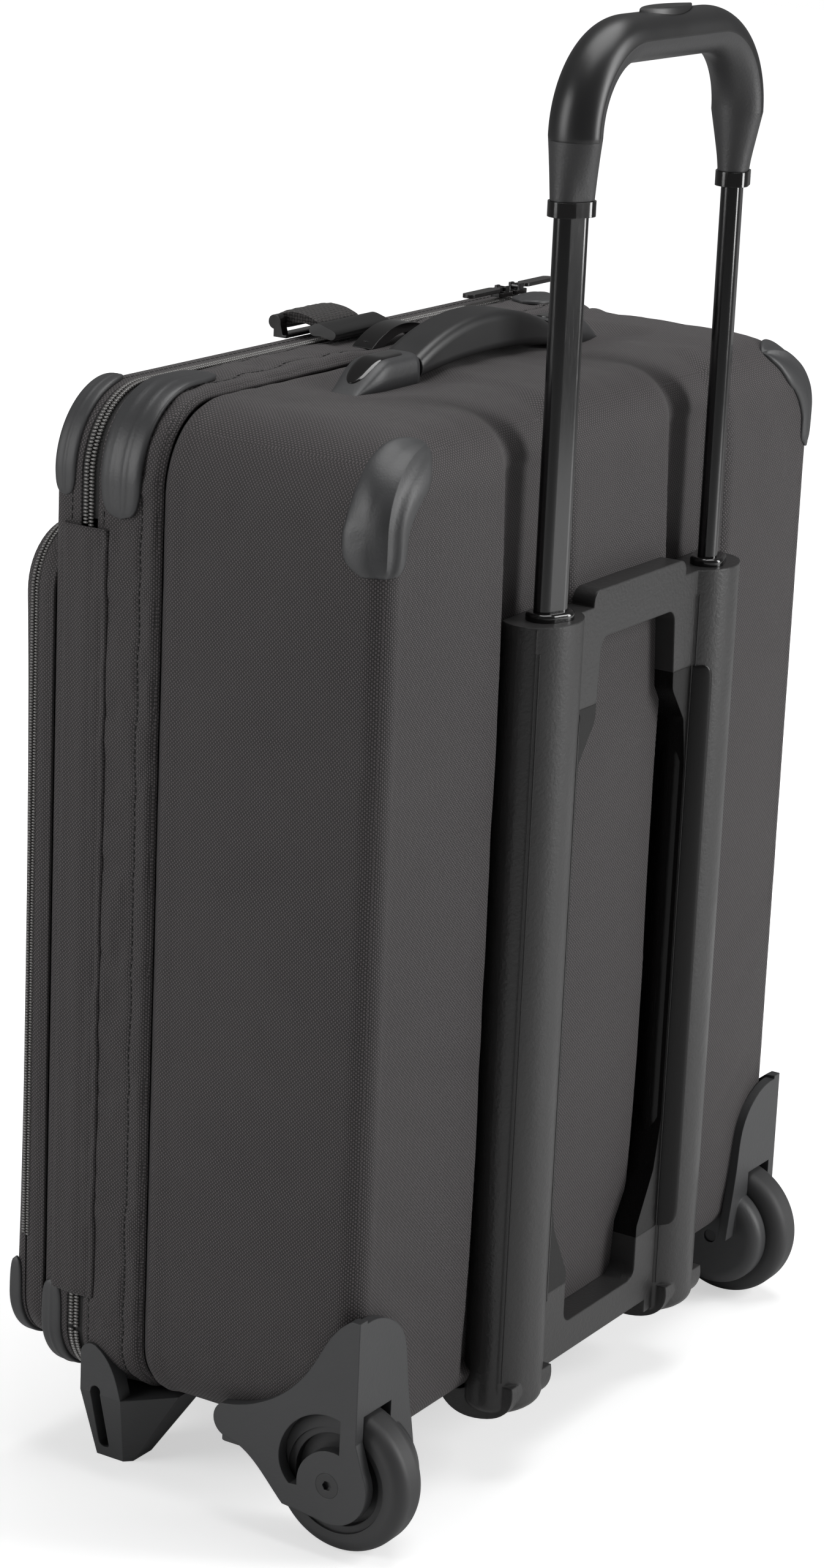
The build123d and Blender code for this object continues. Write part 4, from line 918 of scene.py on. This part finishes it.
# ---- strap ---------------------------------------------------------------------------------------
def strap():
    """Doubled webbing from the loop's bar to the hook: two layers that meet in a groove, arched a little."""
    x, bar_y, bar_z, end_y = 0.003, -0.107, 0.609, -0.0842
    half_width, bar_radius = 0.020, 0.0049
    run = end_y - bar_y

    def arch(y):
        t = np.clip((y - bar_y) / run, 0, 1)
        return 0.0030 * math.sin(math.pi * t)

    def lower(i):
        y = bar_y + run * i / 10
        return y, bar_z - bar_radius + 0.0024 * smooth(i / 10, 0, 0.6) + 0.6 * arch(y)

    loop = [(bar_y + bar_radius * math.cos(math.radians(a)), bar_z + bar_radius * math.sin(math.radians(a)))
            for a in range(90, 271, 15)]
    low = [lower(i) for i in range(1, 11)]
    tip = [(end_y + 0.0009, bar_z - 0.0013), (end_y - 0.0010, bar_z), (end_y + 0.0009, bar_z + 0.0013)]
    high = [(y, 2 * bar_z - z + 1.6 * arch(y)) for y, z in low[::-1]]
    section = loop + low + tip + high
    xs = [x + half_width * math.sin(a) for a in np.linspace(-math.pi / 2, math.pi / 2, 21)]
    vertices = []
    for px in xs:
        edge = abs(px - x) / half_width
        thin = 1 - 0.25 * edge ** 8
        for y, z in section:
            centre = bar_z + arch(y)
            groove = 0.0002 * math.sin(px * 1500)
            vertices.append((px, y, centre + (z - centre) * thin + groove * (z > centre)))
    faces = grid_faces(len(xs), len(section), wrap_columns=True)
    count = len(section)
    faces += [tuple(range(count)), tuple(range(len(vertices) - count, len(vertices)))[::-1]]
    obj = mesh_object("strap_band", vertices, faces, "webbing")
    tidy_normals(obj)
    obj.data.set_sharp_from_angle(angle=math.radians(50))
    piece(obj, "strap", "webbing", "strap_webbing")


# ---- carry handle caps ---------------------------------------------------------------------------
def handle_caps():
    """Domed caps that hold the carry handle, each with a gloss inlay on its back."""
    x0, x1, base = 0.0705, 0.1260, 0.5960
    inlay_x0, inlay_x1 = 0.0765, 0.1185
    boxy = 0.36  # how square the cap's cross-section is; 1 would be round

    def height(x):
        return 0.0166 * (1 - smooth(x, 0.096, 0.1285)) ** 0.75

    def half(x):
        return 0.0122 * (1 - 0.35 * smooth(x, 0.098, 0.128) ** 1.5)

    rows, columns = 34, 29
    for sign, suffix in ((1, "left"), (-1, "right")):
        vertices = []
        xs = [x0 + (x1 - x0) * math.sin(math.pi / 2 * i / (rows - 1)) for i in range(rows)]
        for x in xs:
            for k in range(columns):
                t = math.pi * k / (columns - 1)
                c, si = math.cos(t), max(math.sin(t), 0.0)
                y = HANDLE_Y + half(x) * math.copysign(abs(c) ** 0.5, c)
                vertices.append((sign * x, y, base + height(x) * si ** boxy))
        obj = mesh_object(f"handle_cap_{suffix}", vertices, grid_faces(rows, columns), "guard")
        if sum(p.normal.z * p.area for p in obj.data.polygons) < 0:
            obj.data.flip_normals()
        thicken(obj, 0.0009)
        piece(obj, "case", "guard_plastic", *(["handle_caps", "cap_inlays"] if sign > 0 else []))

        def inlay(u, v):
            x = inlay_x0 + (inlay_x1 - inlay_x0) * u
            outer_end = max(1 - max(2 * u - 1, 0.0) ** 4, 0.0) ** 0.5
            y = v * 0.0066 * (outer_end * max(1 - max(1 - 2 * u, 0.0) ** 14, 0.0) ** 0.5)
            si = math.sin(math.acos(min(abs(y / half(x)) ** 2, 1.0)))
            return sign * x, HANDLE_Y + y, base + height(x) * si ** boxy

        us = [0.5 - 0.5 * math.cos(math.pi * i / 40) for i in range(41)]
        guard(f"cap_inlay_{suffix}", inlay, us, steps(-1, 1, 15), 0.0006, (), "case", look="gloss",
              slot="gloss_black")


# ---- housing ridges ------------------------------------------------------------------------------
def rail_point(angle, out):
    """Point (x, y) of the left rail's rounded back at an angle, out metres off its surface."""
    a, b, middle = 0.026, 0.020, 0.106
    t = math.radians(angle)
    x, y = TUBE_X + a * math.cos(t), middle + b * math.sin(t)
    nx, ny = math.cos(t) / a, math.sin(t) / b
    size = math.hypot(nx, ny)
    return x + out * nx / size, y + out * ny / size


def rail_dress():
    """Two fine ridges down each flank of the rails and the black skins on their inner flanks."""
    ridge_z0, ridge_z1, skin_z, skin_height = 0.062, 0.474, 0.098, 0.336
    inner_angle, outer_angle = 118, 149
    vertices, faces = [], []
    for sign in (1, -1):
        for angle in (30, 35, 143, 148) if sign > 0 else (30, 35, 145, 150):
            start = len(vertices)
            for z in (ridge_z0, ridge_z1):
                for turn, out in ((-1.3, -0.0002), (-0.6, 0.0004), (0.6, 0.0004), (1.3, -0.0002)):
                    x, y = rail_point(angle + turn, out)
                    vertices.append((sign * x, y, z))
            faces += [(start + k, start + (k + 1) % 4, start + 4 + (k + 1) % 4, start + 4 + k)
                      for k in range(4)]
            faces += [tuple(start + k for k in range(4)), tuple(start + 4 + k for k in range(4))]
    obj = mesh_object("rail_ridges", vertices, faces, "housing", smooth=False)
    tidy_normals(obj)
    piece(obj, "case", "housing_plastic")
    for sign, suffix in ((1, "left"), (-1, "right")):

        def skin(u, v):
            end = max(1 - abs(2 * u - 1) ** 60, 0.0) ** 0.5
            angle = outer_angle - (outer_angle - inner_angle) * (0.5 + 0.5 * v) * (0.45 + 0.55 * end)
            x, y = rail_point(angle, 0.0)
            return sign * x, y, skin_z + skin_height * u

        us = [0.5 - 0.5 * math.cos(math.pi * i / 60) for i in range(61)]
        guard(f"rail_skin_{suffix}", skin, us, steps(-1, 1, 13), 0.0007, (), "case", look="inlay",
              slot="gloss_black")


# ---- stage, light, camera ------------------------------------------------------------------------
def stage_and_camera():
    """Pale flat floor that brightens with distance, soft light and the camera."""
    floor = mesh_object("floor", [(-8, -8, 0), (8, -8, 0), (8, 8, 0), (-8, 8, 0)], [(0, 1, 2, 3)], "nylon")
    t = Tree("floor_white")
    tone = t.mix(t.math("MULTIPLY", t.noise(3.0, 2.0), 0.04), (0.80, 0.80, 0.80), (0.76, 0.76, 0.76))
    seen = t.nodes.new("ShaderNodeLightPath").outputs["Is Camera Ray"]
    x, y, _ = t.split(t.point)
    far = t.math("SQRT", t.math("ADD", t.math("MULTIPLY", x, x), t.math("MULTIPLY", y, y)))
    glow = t.math("MULTIPLY", seen, t.ramp(far, 0.25, 1.3, 0.55, 1.0))
    floor.data.materials[0] = t.finish(Base_Color=tone, Roughness=0.6, Emission_Color=(1.0, 1.0, 1.0),
                                       Emission_Strength=glow)
    world = bpy.data.worlds.new("studio")
    bpy.context.scene.world = world
    world.use_nodes = True
    nodes, links = world.node_tree.nodes, world.node_tree.links
    background = nodes["Background"]
    background.inputs[0].default_value = (1, 1, 1, 1)
    path, dim = nodes.new("ShaderNodeLightPath"), nodes.new("ShaderNodeMapRange")
    dim.inputs[3].default_value, dim.inputs[4].default_value = 0.13, 1.0
    links.new(path.outputs["Is Camera Ray"], dim.inputs[0])
    links.new(dim.outputs[0], background.inputs[1])

    def light(name, place, target, size, power):
        data = bpy.data.lights.new(name, "AREA")
        data.shape, data.size, data.size_y, data.energy = "RECTANGLE", size[0], size[1], power
        obj = bpy.data.objects.new(name, data)
        obj.location = place
        obj.rotation_euler = (Vector(target) - Vector(place)).to_track_quat("-Z", "Y").to_euler()
        bpy.context.scene.collection.objects.link(obj)

    light("key_right", (-1.25, 2.35, 1.25), (0, 0, 0.35), (0.8, 2.2), 56)
    light("key_left", (2.6, -1.5, 1.3), (0, 0, 0.35), (1.2, 2.2), 42)
    light("top", (-0.2, 0.1, 2.5), (0, 0, 0.3), (1.6, 1.6), 34)

    azimuth, elevation, roll = math.radians(59.01), math.radians(16.597), math.radians(2.771)
    distance, scale, y_offset = 2.4, 0.92, 0.110
    out = Vector((math.sin(azimuth) * math.cos(elevation), math.cos(azimuth) * math.cos(elevation),
                  math.sin(elevation)))
    target = Vector((0, -0.1 * scale + y_offset, 0.386 * scale))
    place = target + out * distance * scale
    right = (-out).cross(Vector((0, 0, 1))).normalized()
    up = right.cross(-out)
    x_axis = right * math.cos(roll) + up * math.sin(roll)
    y_axis = up * math.cos(roll) - right * math.sin(roll)
    data = bpy.data.cameras.new("camera")
    data.sensor_fit, data.sensor_height, data.lens = "VERTICAL", 36.0, 90.46
    data.shift_x, data.shift_y = -0.0404, 0.0057
    camera = bpy.data.objects.new("camera", data)
    rotation = Matrix((x_axis, y_axis, out)).transposed()
    camera.matrix_world = Matrix.Translation(place) @ rotation.to_4x4()
    bpy.context.scene.collection.objects.link(camera)
    bpy.context.scene.camera = camera
    bpy.context.scene.view_settings.view_transform = "Standard"


dress_cad_nodes()
body_fabric()
front_band()
lid_and_pocket()
zippers()
hinge_fabric()
stitches()
guards()
strap()
handle_caps()
rail_dress()
stage_and_camera()
